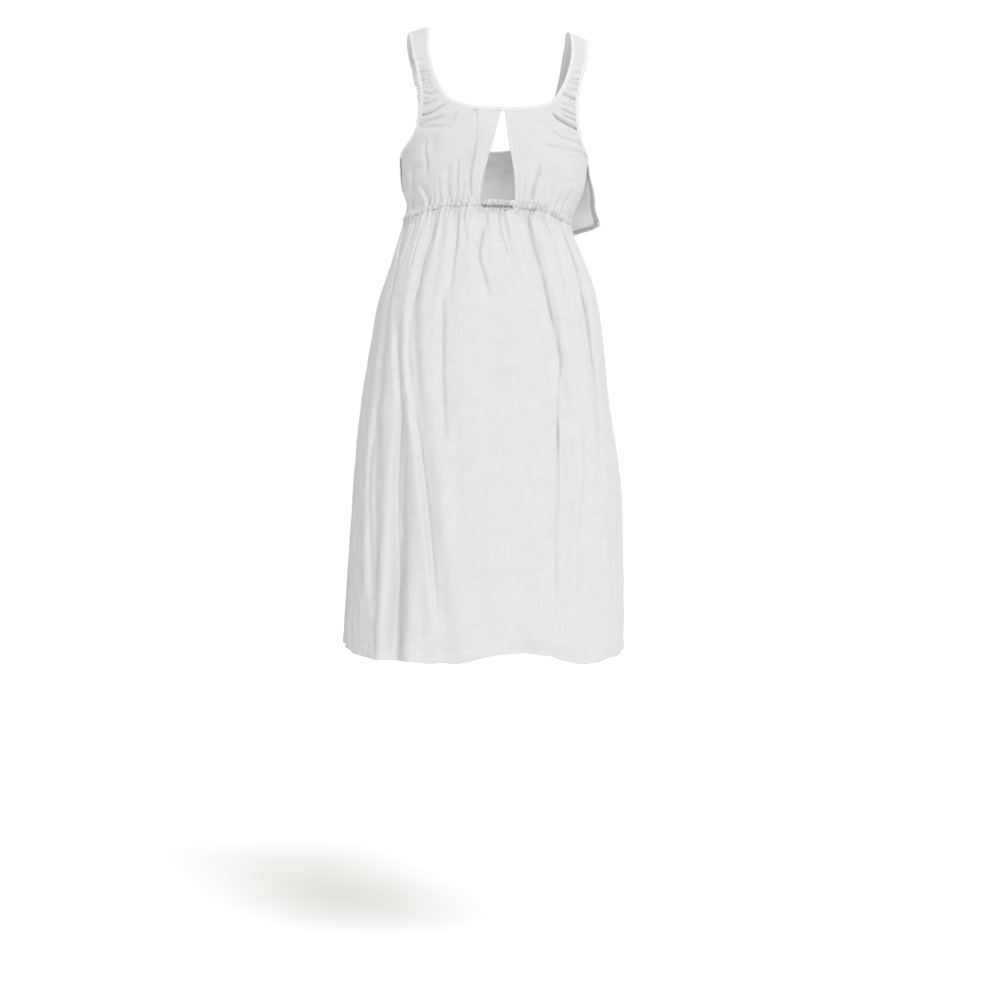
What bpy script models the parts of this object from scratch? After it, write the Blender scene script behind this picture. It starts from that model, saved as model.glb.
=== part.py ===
"""A sleeveless linen dress in its worn form, from the strap tops to the knee-length hem.

The front faces -Y, the back with its keyhole faces +Y, and the garment's left side is at +X.
The origin is midway between the strap tops. Every cloth piece is a thin open surface,
lofted from the tables below and thickened inwards.
"""

import math

import bmesh
import bpy
import numpy as np

# Driving sizes, in metres
WALL = 0.0015  # one layer of linen with its loft
GAP = 0.0003  # between pieces that are sewn together
BINDING_WALL = 0.0022  # folded strip over the cloth's edge
BINDING_PROUD = 0.0004
NECK_BINDING_WIDTH = 0.0055
ARM_BINDING_WIDTH = 0.0060
WAIST_TOP = -0.2605  # the elastic casing that joins bodice and skirt
WAIST_LOW = -0.2697
WAIST_DIP = 0.014  # how far the waist lies lower at the side seams
WAIST_DIP_REACH = -0.205  # from here down the bodice follows it
WAIST_GATHERS = 30
GATHER_HEIGHT = 0.0016
BODICE_GATHER_REACH = 0.016  # the gathers fade over this distance from the casing
SKIRT_GATHER_REACH = 0.045
SLIT_DROP = 0.0033  # the skirt's top edge sags below the casing behind the keyhole
SLIT_HALF = math.radians(13)  # half of its width, as an angle
CASING_PROUD = 0.0004
LAYER_STEP = WALL + 0.0004  # the loose front layer lies outside the bodice front
SIDE = math.pi / 2  # the side seams, measured round from the centre back
SEAM_TURN = 0.00125  # half of the gap at a side seam, as an angle
SHOULDER_Y = 0.010  # the shoulder seams
PANEL_LOW = WAIST_TOP + GAP
FRONT_LOW = PANEL_LOW + 0.0004  # the front's wide columns cut the casing's curve short
ARM_RIDGE = 0.0012  # ridges that the armhole elastic draws
ARM_RIDGE_STEP = 2.1  # of their wave, from row to row
ARM_PUCKER = 0.0006
ARM_PUCKER_STEP = 1.9
ARMPIT_LEVEL = -0.186  # where the row from the armpit reaches the middle of a panel

# The worn form, level by level. Half the width, how far the back and the front stand off
# the middle, and how far the middle sways towards +X.
FORM_POWER = 2.4
FORM = (
    # height, half_width, back, front, sway
    (0.0300, 0.0750, 0.0500, 0.0450, 0.0000),
    (0.0055, 0.1050, 0.0580, 0.0520, 0.0000),
    (-0.0055, 0.1350, 0.0660, 0.0600, 0.0000),
    (-0.0200, 0.1620, 0.0720, 0.0660, 0.0000),
    (-0.0400, 0.1780, 0.0790, 0.0740, 0.0000),
    (-0.0800, 0.1740, 0.0900, 0.0900, 0.0000),
    (-0.1200, 0.1580, 0.0950, 0.1080, 0.0000),
    (-0.1600, 0.1430, 0.0980, 0.1220, 0.0000),
    (-0.2000, 0.1392, 0.0950, 0.1270, 0.0000),
    (-0.2300, 0.1358, 0.0902, 0.1170, 0.0010),
    (-0.2620, 0.1256, 0.0835, 0.1010, 0.0040),
    (-0.2790, 0.1228, 0.0830, 0.1000, 0.0090),
    (-0.3010, 0.1298, 0.0885, 0.1040, 0.0080),
    (-0.3470, 0.1468, 0.1045, 0.1110, 0.0050),
    (-0.3740, 0.1562, 0.1130, 0.1140, 0.0040),
    (-0.4000, 0.1632, 0.1195, 0.1170, 0.0050),
    (-0.4680, 0.1742, 0.1275, 0.1210, 0.0050),
    (-0.5500, 0.1850, 0.1310, 0.1260, 0.0060),
    (-0.6260, 0.1950, 0.1350, 0.1310, 0.0020),
    (-0.6800, 0.2000, 0.1380, 0.1340, 0.0000),
    (-0.7300, 0.2020, 0.1400, 0.1370, 0.0000),
    (-0.8500, 0.2070, 0.1460, 0.1440, 0.0000),
    (-0.9600, 0.2100, 0.1500, 0.1480, 0.0000),
)

# Half of the neckline, from the centre back over the shoulder to the centre front
NECKLINE = (
    # x, y, z
    (0.0000, 0.095, -0.1250),
    (0.0350, 0.094, -0.1238),
    (0.0600, 0.090, -0.1185),
    (0.0735, 0.087, -0.1125),
    (0.0895, 0.082, -0.0900),
    (0.1000, 0.076, -0.0620),
    (0.1055, 0.069, -0.0360),
    (0.1045, 0.050, -0.0080),
    (0.1035, 0.010, 0.0060),
    (0.1035, -0.040, -0.0120),
    (0.0990, -0.066, -0.0560),
    (0.0850, -0.088, -0.1080),
    (0.0500, -0.108, -0.1440),
    (0.0000, -0.114, -0.1530),
)

# One armhole, from the shoulder down the back, under the arm and up the front
ARMHOLE = (
    # x, y, z
    (0.1345, 0.010, -0.0050),
    (0.1335, 0.050, -0.0180),
    (0.1300, 0.063, -0.0430),
    (0.1222, 0.070, -0.0740),
    (0.1172, 0.073, -0.1020),
    (0.1180, 0.069, -0.1360),
    (0.1262, 0.055, -0.1640),
    (0.1350, 0.030, -0.1780),
    (0.1400, 0.000, -0.1830),
    (0.1350, -0.040, -0.1750),
    (0.1190, -0.080, -0.1420),
    (0.1150, -0.084, -0.0980),
    (0.1250, -0.068, -0.0480),
    (0.1335, -0.046, -0.0180),
)

# The keyhole's two edges, from the neck binding down to the waist casing
KEYHOLE = (
    # height, x of the right edge, x of the left edge
    (-0.1250, -0.0062, -0.0020),
    (-0.1740, -0.0132, 0.0096),
    (-0.2230, -0.0226, 0.0214),
    (-0.2610, -0.0258, 0.0264),
)

# Creases of the bodice back: inward troughs between two points, given by x and height
BODICE_CREASES = (
    # top_x, top_z, low_x, low_z, depth, width
    (0.0370, -0.132, 0.0410, -0.262, 0.0030, 0.0045),
    (0.0570, -0.170, 0.0600, -0.262, 0.0016, 0.0060),
    (0.1080, -0.165, 0.1060, -0.245, 0.0026, 0.0080),
    (-0.0620, -0.205, -0.0480, -0.262, 0.0022, 0.0050),
    (-0.0950, -0.185, -0.0880, -0.262, 0.0016, 0.0070),
)

# The skirt's long folds: inward troughs whose place round the skirt shifts with height.
# Angles are in degrees from the centre back, towards +X.
SKIRT_FOLDS = (
    # name, angle and height at four places, depth at the top and low down, width
    ("hem_left", 50, -0.430, 42, -0.527, 39, -0.660, 38, -0.980, 0.002, 0.015, 0.013),
    ("long_left", 38, -0.270, 40, -0.400, 30, -0.570, 14, -0.900, 0.005, 0.004, 0.009),
    ("inner_left", 20, -0.270, 19, -0.380, 20, -0.425, 16, -0.580, 0.003, 0.002, 0.008),
    ("keyhole_left", 2, -0.275, 6, -0.330, 5, -0.362, 0, -0.420, 0.003, 0.001, 0.006),
    ("keyhole_right", -3, -0.270, -3, -0.305, -4, -0.325, -7, -0.370, 0.002, 0.001, 0.006),
    ("long_right", -22, -0.270, -22, -0.350, -30, -0.495, -23, -0.900, 0.005, 0.003, 0.008),
    ("hip_right", -59, -0.290, -55, -0.385, -56, -0.500, -50, -0.660, 0.006, 0.002, 0.009),
    ("side_right", -78, -0.290, -77, -0.420, -76, -0.560, -72, -0.900, 0.002, 0.005, 0.014),
    ("side_left", 74, -0.290, 66, -0.390, 58, -0.600, 50, -0.860, 0.004, 0.004, 0.011),
    ("side_seam_left", 94, -0.290, 93, -0.420, 90, -0.600, 84, -0.980, 0.002, 0.006, 0.014),
    ("front_side_left", 118, -0.290, 120, -0.440, 122, -0.600, 126, -0.980, 0.003, 0.008, 0.015),
    ("front_left", 150, -0.270, 152, -0.400, 152, -0.560, 148, -0.980, 0.004, 0.006, 0.013),
    ("front_middle", 178, -0.270, 179, -0.380, 181, -0.480, 186, -0.800, 0.003, 0.003, 0.011),
    ("front_right", -148, -0.270, -150, -0.400, -150, -0.560, -145, -0.980, 0.004, 0.007, 0.013),
    ("front_side_right", -118, -0.290, -120, -0.440, -120, -0.600, -116, -0.980, 0.003, 0.007, 0.015),
)

# The hem's height round the skirt: it rises at the side seams and beside the centre back
HEM = (
    # angle, height
    (-180, -0.9300),
    (-135, -0.9240),
    (-90, -0.9110),
    (-60, -0.9215),
    (-34, -0.9290),
    (-19, -0.9190),
    (-4, -0.9155),
    (7, -0.9285),
    (30, -0.9295),
    (60, -0.9265),
    (90, -0.9140),
    (135, -0.9240),
    (180, -0.9300),
)

# How far the loose front layer stands off the bodice, on the side where it hangs free
LAYER_STAND_OFF = (
    # height, distance
    (-0.170, 0.0000),
    (-0.182, 0.0006),
    (-0.194, 0.0016),
    (-0.208, 0.0065),
    (-0.230, 0.0180),
    (-0.250, 0.0330),
    (-0.274, 0.0545),
    (-0.300, 0.0640),
)
LAYER_HEM_FRONT = -0.290  # the layer's hem is lowest at the centre front
LAYER_HEM_SIDE = -0.2735
LAYER_WAVE = 0.004  # soft waves of its hem
# Its side edges move forwards towards the hem, less on the right side, where it stands off
LAYER_SWING_LEFT = math.radians(24)
LAYER_SWING_RIGHT = math.radians(15)
LAYER_SHARE_FRONT = 0.62  # share of the stand-off at the centre front
LAYER_SHARE_LEFT = 0.02  # and on the left side, where it hugs the bodice

# Columns and rows of each surface
# A panel's rows lie along the strap, then from the neckline's corner to its middle, then down
# to the armpit, then down to the waist.
BACK_COLUMNS, BACK_ROWS = 17, (11, 7, 4, 5)
FRONT_COLUMNS, FRONT_ROWS = 11, (10, 6, 3, 4)
SKIRT_COLUMNS = 64  # of each half
EDGE_POINTS = 600  # places along the neckline and along an armhole
# How far down the skirt each of its rows lies, as a share of its length
SKIRT_LEVELS = (0, 0.02, 0.05, 0.09, 0.14, 0.21, 0.30, 0.42, 0.56, 0.70, 0.85, 1)
CASING_COLUMNS = 96

LINEN = (0.79, 0.80, 0.79)
LINEN_ROUGHNESS = 0.9


# A clean scene and a collection for the dress

for old in list(bpy.data.objects):
    bpy.data.objects.remove(old, do_unlink=True)
dress = bpy.data.collections.new("linen_dress")
bpy.context.scene.collection.children.link(dress)


# Smooth lines and tables


def flow(knots, values, at):
    """Cubic curve through the values at the knots, which rise, read at the places asked for."""
    knots, values = np.asarray(knots, float), np.asarray(values, float)
    slopes = np.gradient(values, knots, axis=0)
    at = np.clip(at, knots[0], knots[-1])
    low = np.clip(np.searchsorted(knots, at, side="right") - 1, 0, len(knots) - 2)
    step = knots[low + 1] - knots[low]
    t = (at - knots[low]) / step
    if values.ndim > 1:
        step, t = step[..., None], t[..., None]
    rise = values[low + 1] - values[low]
    bend = (3 - 2 * t) * t * t
    swing = t * (1 - t) * step * ((1 - t) * slopes[low] - t * slopes[low + 1])
    return values[low] + rise * bend + swing


def distance_along(line):
    return np.concatenate([[0], np.cumsum(np.linalg.norm(np.diff(line, axis=0), axis=1))])


def evenly(line, count):
    run = distance_along(line)
    at = np.linspace(0, run[-1], count)
    return np.stack([np.interp(at, run, line[:, k]) for k in range(3)], axis=1)


def ease(value, start, end):
    """0 before the start, 1 past the end, and a soft step between."""
    t = np.clip((value - start) / (end - start), 0, 1)
    return t * t * (3 - 2 * t)


def trough(distance, width):
    """1 at a fold's bottom, with a low ridge on each side of it."""
    d = distance / width
    return np.exp(-d * d) - 0.32 * np.exp(-((np.abs(d) - 1.9) ** 2))


# The worn form

FORM_LEVELS = np.array(FORM)[::-1]


def level(z):
    """Half width, back, front and sway of the form at these heights."""
    rows = flow(FORM_LEVELS[:, 0], FORM_LEVELS[:, 1:], np.asarray(z, float))
    return rows[..., 0], rows[..., 1], rows[..., 2], rows[..., 3]


def form_at(angle, z):
    """The point of the form at this angle round from the centre back, and this height."""
    half, back, front, sway = level(z)
    side, away = np.sin(angle), np.cos(angle)
    depth = np.where(away > 0, back, front)
    x = sway + half * np.sign(side) * np.abs(side) ** (2 / FORM_POWER)
    y = depth * np.sign(away) * np.abs(away) ** (2 / FORM_POWER)
    return np.stack(np.broadcast_arrays(x, y, z), axis=-1)


def angle_of(points):
    half, back, front, sway = level(points[..., 2])
    depth = np.where(points[..., 1] > 0, back, front)
    x = (points[..., 0] - sway) / half
    y = points[..., 1] / depth
    grow = FORM_POWER / 2
    return np.arctan2(np.sign(x) * np.abs(x) ** grow, np.sign(y) * np.abs(y) ** grow)


def beyond(points):
    """Above 0 outside the form and below 0 inside it."""
    half, back, front, sway = level(points[..., 2])
    depth = np.where(points[..., 1] > 0, back, front)
    x = np.abs((points[..., 0] - sway) / half)
    y = np.abs(points[..., 1] / depth)
    return (x**FORM_POWER + y**FORM_POWER) ** (1 / FORM_POWER) - 1


def steepest(points):
    """The outward direction of the form's sections, tipped upwards only on the shoulders."""
    small = 1e-4
    parts = []
    for axis in range(3):
        step = np.zeros(3)
        step[axis] = small
        parts.append((beyond(points + step) - beyond(points - step)) / (2 * small))
    slope = np.stack(parts, axis=-1)
    tip = ease(points[..., 2], -0.075, -0.025)
    path = slope * np.stack([np.ones_like(tip), np.ones_like(tip), tip], axis=-1)
    return slope, path


def onto_form(points):
    """Moves each point out or in until it lies on the form."""
    points = np.array(points, float)
    for _ in range(12):
        slope, path = steepest(points)
        reach = np.maximum((slope * path).sum(axis=-1), 1e-6)
        points -= path * (beyond(points) / reach)[..., None]
    return points


def outward(points):
    _, path = steepest(points)
    return path / np.linalg.norm(path, axis=-1, keepdims=True)


# The waist


def waist_dip(angle):
    """How far the waist lies lower at this angle, most at the side seams."""
    return WAIST_DIP * ease(np.abs(np.sin(angle)), 0.43, 1.06)


def dipped(points):
    """Points of the bodice on the form, moved down along it where the waist lies lower."""
    angle = angle_of(points)
    reach = ease(-points[..., 2], -WAIST_DIP_REACH, -WAIST_TOP)
    moved = form_at(angle, points[..., 2] - waist_dip(angle) * reach)
    return np.where(reach[..., None] > 0, moved, points)


def gathers(angle):
    """Uneven small waves round the waist, between about -1 and 1."""
    drift = 1.3 * np.sin(3 * angle + 0.4) + 0.7 * np.sin(7 * angle + 2.0)
    strength = 0.72 + 0.28 * np.sin(5 * angle + 1.1)
    seam = 1 - np.exp(-((np.cos(angle) / 0.13) ** 2))
    return seam * strength * np.sin(WAIST_GATHERS * angle + drift)


def waist_ripple(points, reach):
    """The gathers' height off the form, fading away from the waist casing."""
    angle = angle_of(points)
    above_waist = points[..., 2] + waist_dip(angle)
    far = np.maximum(above_waist - WAIST_TOP, WAIST_LOW - above_waist)
    fade = np.exp(-np.maximum(far, 0) / reach)
    return GATHER_HEIGHT * fade * gathers(angle)


def crease_depth(points, creases):
    """Trough depths of the listed creases of the bodice back."""
    total = np.zeros(points.shape[:-1])
    for top_x, top_z, low_x, low_z, depth, width in creases:
        along = (top_z - points[..., 2]) / (top_z - low_z)
        middle = top_x + (low_x - top_x) * along
        ends = ease(along, 0, 0.3)
        total += depth * ends * trough(points[..., 0] - middle, width)
    return total


def fold_depth(angle, z, radius):
    """Trough depths of the skirt's long folds."""
    total = np.zeros(np.broadcast(angle, z).shape)
    for _, a0, z0, a1, z1, a2, z2, a3, z3, top_depth, low_depth, width in SKIRT_FOLDS:
        at = np.radians(flow([-z0, -z1, -z2, -z3], [a0, a1, a2, a3], -z))
        turn = (angle - at + math.pi) % (2 * math.pi) - math.pi
        along = (z0 - z) / (z0 - z3)
        depth = top_depth + (low_depth - top_depth) * ease(along, 0.1, 0.9)
        ends = ease(along, -0.05, 0.08) * (1 - ease(along, 0.85, 1.15))
        total += depth * ends * trough(turn * radius, width)
    return total


# Surfaces


def linen_material(name, shade):
    material = bpy.data.materials.new(name)
    material.use_nodes = True
    surface = material.node_tree.nodes["Principled BSDF"]
    surface.inputs["Base Color"].default_value = (*(shade * c for c in LINEN), 1)
    surface.inputs["Roughness"].default_value = LINEN_ROUGHNESS
    surface.inputs["Metallic"].default_value = 0
    return material


def cloth(name, grids, thickness=WALL, closed=False, shade=1.0):
    """A wall behind the surfaces lofted through these grids of points, joined where they meet."""
    work = bmesh.new()
    for grid in grids:
        rows = [[work.verts.new(point) for point in row] for row in grid]
        for upper, lower in zip(rows, rows[1:]):
            for here in range(len(upper) if closed else len(upper) - 1):
                after = (here + 1) % len(upper)
                work.faces.new((upper[here], lower[here], lower[after], upper[after]))
    bmesh.ops.remove_doubles(work, verts=work.verts, dist=1e-5)
    bmesh.ops.recalc_face_normals(work, faces=work.faces)
    faces = list(work.faces)
    away = outward(np.array([face.calc_center_median() for face in faces]))
    normals = np.array([face.normal * face.calc_area() for face in faces])
    if (away * normals).sum() < 0:
        bmesh.ops.reverse_faces(work, faces=work.faces)
    mesh = bpy.data.meshes.new(name)
    work.to_mesh(mesh)
    work.free()
    mesh.materials.append(linen_material(name, shade))
    mesh.shade_smooth()
    piece = bpy.data.objects.new(name, mesh)
    dress.objects.link(piece)
    wall = piece.modifiers.new("wall", "SOLIDIFY")
    wall.thickness = thickness
    wall.offset = -1
    return piece


def lifted(points, distance):
    """The points moved off the form by this distance."""
    return points + outward(points) * np.asarray(distance)[..., None]


def mirrored(points, side):
    return np.asarray(points) * (side, 1, 1)


def closed_line(points, count):
    """Evenly spaced points on the form, round a smooth closed curve."""
    points = np.asarray(points, float)
    wrapped = np.concatenate([points[-3:], points, points[:4]])
    run = distance_along(wrapped)
    dense = flow(run, wrapped, np.linspace(run[3], run[3 + len(points)], 4 * count))
    return onto_form(evenly(dense, count + 1)[:-1])


def inset(line, distance, towards):
    """A closed line on the form moved across it, to the side that the first point's hint gives."""
    along = np.roll(line, -1, axis=0) - np.roll(line, 1, axis=0)
    across = np.cross(outward(line), along)
    across /= np.linalg.norm(across, axis=1, keepdims=True)
    if across[0] @ np.asarray(towards, float) < 0:
        across = -across
    return onto_form(line + across * distance)


def nearest(line, point):
    return int(np.argmin(np.linalg.norm(line - np.asarray(point), axis=1)))


def spaced(stops, counts):
    """Values spaced evenly from each stop to the next, with the last stop at the end."""
    runs = [
        np.linspace(start, end, count, endpoint=False)
        for start, end, count in zip(stops, stops[1:], counts)
    ]
    return np.concatenate(runs + [[stops[-1]]])


def places(stops, counts):
    return spaced(stops, counts).round().astype(int)


def panel(inner, outer, columns):
    """A grid on the form whose rows join the two edges."""
    share = np.linspace(0, 1, columns + 1)[None, :, None]
    grid = onto_form(inner[:, None] * (1 - share) + outer[:, None] * share)
    grid[:, 0], grid[:, -1] = inner, outer
    return grid


# The neckline and the armhole. Each has an outer edge, a seam where its binding ends, and
# the panels' cut just past that seam, and a place along them is an index into all three.

half_neck = np.array(NECKLINE)
whole_neck = np.concatenate([half_neck, mirrored(half_neck, -1)[::-1][1:-1]])
neck_edge = closed_line(whole_neck, EDGE_POINTS)
neck_seam = inset(neck_edge, NECK_BINDING_WIDTH, (0, 0, -1))
neck_cut = inset(neck_edge, NECK_BINDING_WIDTH + 1.2 * GAP, (0, 0, -1))
neck_shoulder = nearest(neck_cut, (0.110, SHOULDER_Y, 0.003))
neck_back_corner = nearest(neck_cut, (0.074, 0.087, -0.118))
neck_front_corner = nearest(neck_cut, (0.085, -0.088, -0.112))
neck_front_middle = EDGE_POINTS // 2

arm_edge = closed_line(ARMHOLE, EDGE_POINTS)
arm_seam = inset(arm_edge, ARM_BINDING_WIDTH, (-1, 0, 0))
arm_cut = inset(arm_edge, ARM_BINDING_WIDTH + 1.7 * GAP, (-1, 0, 0))
arm_back_corner = nearest(arm_cut, (0.112, 0.073, -0.124))
arm_back_low = nearest(arm_cut, (0.121, 0.058, -0.166))
arm_pit = nearest(arm_cut, (0.140, 0.000, -0.189))
arm_front_low = nearest(arm_cut, (0.117, -0.073, -0.162))
arm_front_corner = nearest(arm_cut, (0.110, -0.088, -0.124))


def keyhole_edge(side, z):
    heights, right, left = np.array(KEYHOLE).T
    x = flow(-heights, left if side > 0 else right, -z)
    return onto_form(np.stack([x, level(z)[1], z], axis=1))


def neck_places(side, front):
    """Where the rows of a panel meet the neckline, from the shoulder to the centre."""
    if front:
        stops = (neck_shoulder, neck_front_corner, neck_front_middle)
        return side * places(stops, FRONT_ROWS) % EDGE_POINTS
    top = KEYHOLE[0][2 if side > 0 else 1]
    past = nearest(neck_cut, (side * top, 0.095, neck_cut[0, 2]))
    past -= EDGE_POINTS * (past > EDGE_POINTS / 2)
    return side * places((neck_shoulder, neck_back_corner, past), BACK_ROWS) % EDGE_POINTS


def arm_places(front):
    """Where the rows of a panel meet the armhole, from the shoulder to the armpit."""
    if front:
        stops = (EDGE_POINTS, arm_front_corner, arm_front_low, arm_pit)
        return places(stops, FRONT_ROWS) % EDGE_POINTS
    return places((0, arm_back_corner, arm_back_low, arm_pit), BACK_ROWS)


def outer_side(side, front, counts, low, side_swing=0.0):
    """A panel's armhole edge, and its side seam or free edge down to the given height."""
    arm = mirrored(arm_cut[arm_places(front)], side)
    turn = SIDE + (SEAM_TURN if front else -SEAM_TURN)
    down = np.linspace(arm[-1, 2], low, counts[-1] + 1)
    swing = side_swing * ease(down[0] - down, 0, down[0] - low)
    return np.concatenate([arm[:-1], form_at(side * (turn + swing), down)])


def parted_at_shoulder(grid, front):
    grid[0, :, 1] = SHOULDER_Y + (-GAP if front else GAP) / 2
    return grid


def bodice_ripple(grid):
    """Waist gathers, and the uneven ridges that the armhole elastic draws across the yoke."""
    rows, columns = grid.shape[:2]
    across = np.linspace(0, 1, columns)[None, :]
    across = across * (1 - across**8)
    drawn = ease(-grid[:, -1:, 2], 0.035, 0.060) * (1 - ease(-grid[:, -1:, 2], 0.150, 0.185))
    row = np.arange(rows)[:, None]
    ridges = np.sin(row * ARM_RIDGE_STEP + 0.8 * np.sin(2.3 * row))
    return waist_ripple(grid, BODICE_GATHER_REACH) + ARM_RIDGE * drawn * across * ridges


def back_half(side):
    neck = neck_cut[neck_places(side, front=False)]
    down = spaced((neck[-1, 2], ARMPIT_LEVEL, PANEL_LOW), BACK_ROWS[2:])
    inner = np.concatenate([neck, keyhole_edge(side, down[1:])])
    outer = outer_side(side, False, BACK_ROWS, PANEL_LOW)
    grid = dipped(parted_at_shoulder(panel(inner, outer, BACK_COLUMNS), front=False))
    return lifted(grid, bodice_ripple(grid) - crease_depth(grid, BODICE_CREASES))


def front_half(side, low, side_low, side_swing=0.0):
    """Half of the bodice front or of the loose layer over it, down to the given heights."""
    neck = neck_cut[neck_places(side, front=True)]
    down = spaced((neck[-1, 2], ARMPIT_LEVEL, low), FRONT_ROWS[2:])
    middle = form_at(np.full_like(down, math.pi), down)
    middle[:, 0] = 0
    inner = np.concatenate([neck, middle[1:]])
    inner[len(neck) - 1, 0] = 0
    outer = outer_side(side, True, FRONT_ROWS, side_low, side_swing)
    return parted_at_shoulder(panel(inner, outer, FRONT_COLUMNS), front=True)


def layer_stand_off(grid):
    """How far the loose layer stands off the bodice, with the soft waves of its hem."""
    heights, distances = np.array(LAYER_STAND_OFF).T
    away = flow(-heights, distances, -grid[..., 2])
    half = level(grid[..., 2])[0]
    across = np.clip(grid[..., 0] / half, -1, 1)
    share = flow([-1, 0, 1], [1.0, LAYER_SHARE_FRONT, LAYER_SHARE_LEFT], across)
    angle = angle_of(grid)
    wave = LAYER_WAVE * ease(-grid[..., 2], 0.190, -LAYER_HEM_SIDE) * np.sin(7 * angle + 0.6) * share
    return LAYER_STEP + away * share + wave


# The bodice

for side, name in ((1, "bodice_back_left"), (-1, "bodice_back_right")):
    cloth(name, [back_half(side)])

halves = [front_half(side, FRONT_LOW, FRONT_LOW) for side in (1, -1)]
halves = [dipped(grid) for grid in halves]
front = [lifted(grid, waist_ripple(grid, BODICE_GATHER_REACH)) for grid in halves]
cloth("bodice_front", front, shade=0.98)

swings = ((1, LAYER_SWING_LEFT), (-1, LAYER_SWING_RIGHT))
halves = [front_half(side, LAYER_HEM_FRONT, LAYER_HEM_SIDE, swing) for side, swing in swings]
cloth("front_layer", [lifted(grid, layer_stand_off(grid)) for grid in halves])

# The bindings round the neck and the armholes, with a bend wherever a panel's row meets them

meets = [neck_places(side, front) for side in (1, -1) for front in (True, False)]
over_keyhole = places((-12, 12), (4,)) % EDGE_POINTS
bends = np.unique(np.concatenate([*meets, over_keyhole]))
edges = np.stack([neck_edge[bends], neck_seam[bends]])
height = np.full(edges.shape[:2], BINDING_PROUD)
cloth("neck_binding", [lifted(edges, height)], BINDING_WALL, closed=True)

bends = np.unique(np.concatenate([arm_places(front=True), arm_places(front=False)]))
for side, name in ((1, "armhole_binding_left"), (-1, "armhole_binding_right")):
    edges = mirrored(np.stack([arm_edge[bends], arm_seam[bends]]), side)
    height = np.full(edges.shape[:2], BINDING_PROUD)
    height[0] += ARM_PUCKER * np.sin(np.arange(len(bends)) * ARM_PUCKER_STEP)
    cloth(name, [lifted(edges, height)], BINDING_WALL, closed=True)

# The elastic casing at the waist

angles = np.linspace(-math.pi, math.pi, CASING_COLUMNS, endpoint=False)
dip = waist_dip(angles)
ring = form_at(angles, (WAIST_TOP + WAIST_LOW) / 2 - dip)
ring = lifted(ring, CASING_PROUD + waist_ripple(ring, BODICE_GATHER_REACH))
band = np.stack([ring, ring])
band[0, :, 2], band[1, :, 2] = WAIST_TOP - dip, WAIST_LOW - dip
cloth("waist_casing", [band], BINDING_WALL, True)

# The skirt, in two halves between the side seams

for middle, name in ((0, "skirt_back"), (math.pi, "skirt_front")):
    reach = SIDE - SEAM_TURN
    angle = middle + np.linspace(-reach, reach, SKIRT_COLUMNS + 1)[None, :]
    turn = np.degrees((angle + math.pi) % (2 * math.pi) - math.pi)
    hem_angles, hem_heights = np.array(HEM).T
    hem = flow(hem_angles, hem_heights, turn)
    slit = SLIT_DROP * (1 - ease(np.abs(np.radians(turn)), 0.8 * SLIT_HALF, SLIT_HALF))
    top = WAIST_LOW - GAP - slit - waist_dip(angle)
    down = np.array(SKIRT_LEVELS)[:, None]
    z = top + (hem - top) * down
    grid = form_at(angle + 0 * z, z)
    radius = np.linalg.norm(grid[..., :2], axis=-1)
    folds = fold_depth(angle_of(grid), z, radius)
    cloth(name, [lifted(grid, waist_ripple(grid, SKIRT_GATHER_REACH) - folds)])
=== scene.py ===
import math

import bmesh
import bpy
import numpy as np
from mathutils import Matrix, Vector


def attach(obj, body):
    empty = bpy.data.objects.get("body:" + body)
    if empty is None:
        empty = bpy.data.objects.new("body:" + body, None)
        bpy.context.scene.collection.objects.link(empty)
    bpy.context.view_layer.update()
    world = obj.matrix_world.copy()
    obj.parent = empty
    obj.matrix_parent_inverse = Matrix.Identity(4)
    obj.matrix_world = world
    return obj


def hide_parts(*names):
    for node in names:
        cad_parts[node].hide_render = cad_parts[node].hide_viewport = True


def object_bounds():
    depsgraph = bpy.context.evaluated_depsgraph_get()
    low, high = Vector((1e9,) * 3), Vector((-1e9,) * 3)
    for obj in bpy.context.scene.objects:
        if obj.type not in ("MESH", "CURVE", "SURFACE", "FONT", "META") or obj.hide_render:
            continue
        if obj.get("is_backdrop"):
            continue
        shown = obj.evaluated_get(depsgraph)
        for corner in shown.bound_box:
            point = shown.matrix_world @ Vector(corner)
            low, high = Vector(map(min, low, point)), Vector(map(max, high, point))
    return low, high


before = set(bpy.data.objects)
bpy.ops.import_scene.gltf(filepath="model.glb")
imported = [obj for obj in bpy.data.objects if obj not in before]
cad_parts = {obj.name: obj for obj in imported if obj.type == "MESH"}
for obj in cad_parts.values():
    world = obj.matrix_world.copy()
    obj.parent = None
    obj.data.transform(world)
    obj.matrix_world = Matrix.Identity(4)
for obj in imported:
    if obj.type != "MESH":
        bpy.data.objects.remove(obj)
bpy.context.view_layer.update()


# Bodice back
# Two cut pieces of plain-woven linen, each with its shoulder strap, parted by the keyhole.
# The keyhole's edges are turned in and stitched. The armhole's elastic draws the yoke into
# ridges, and below the cloth is gathered into the waist casing.

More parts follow.
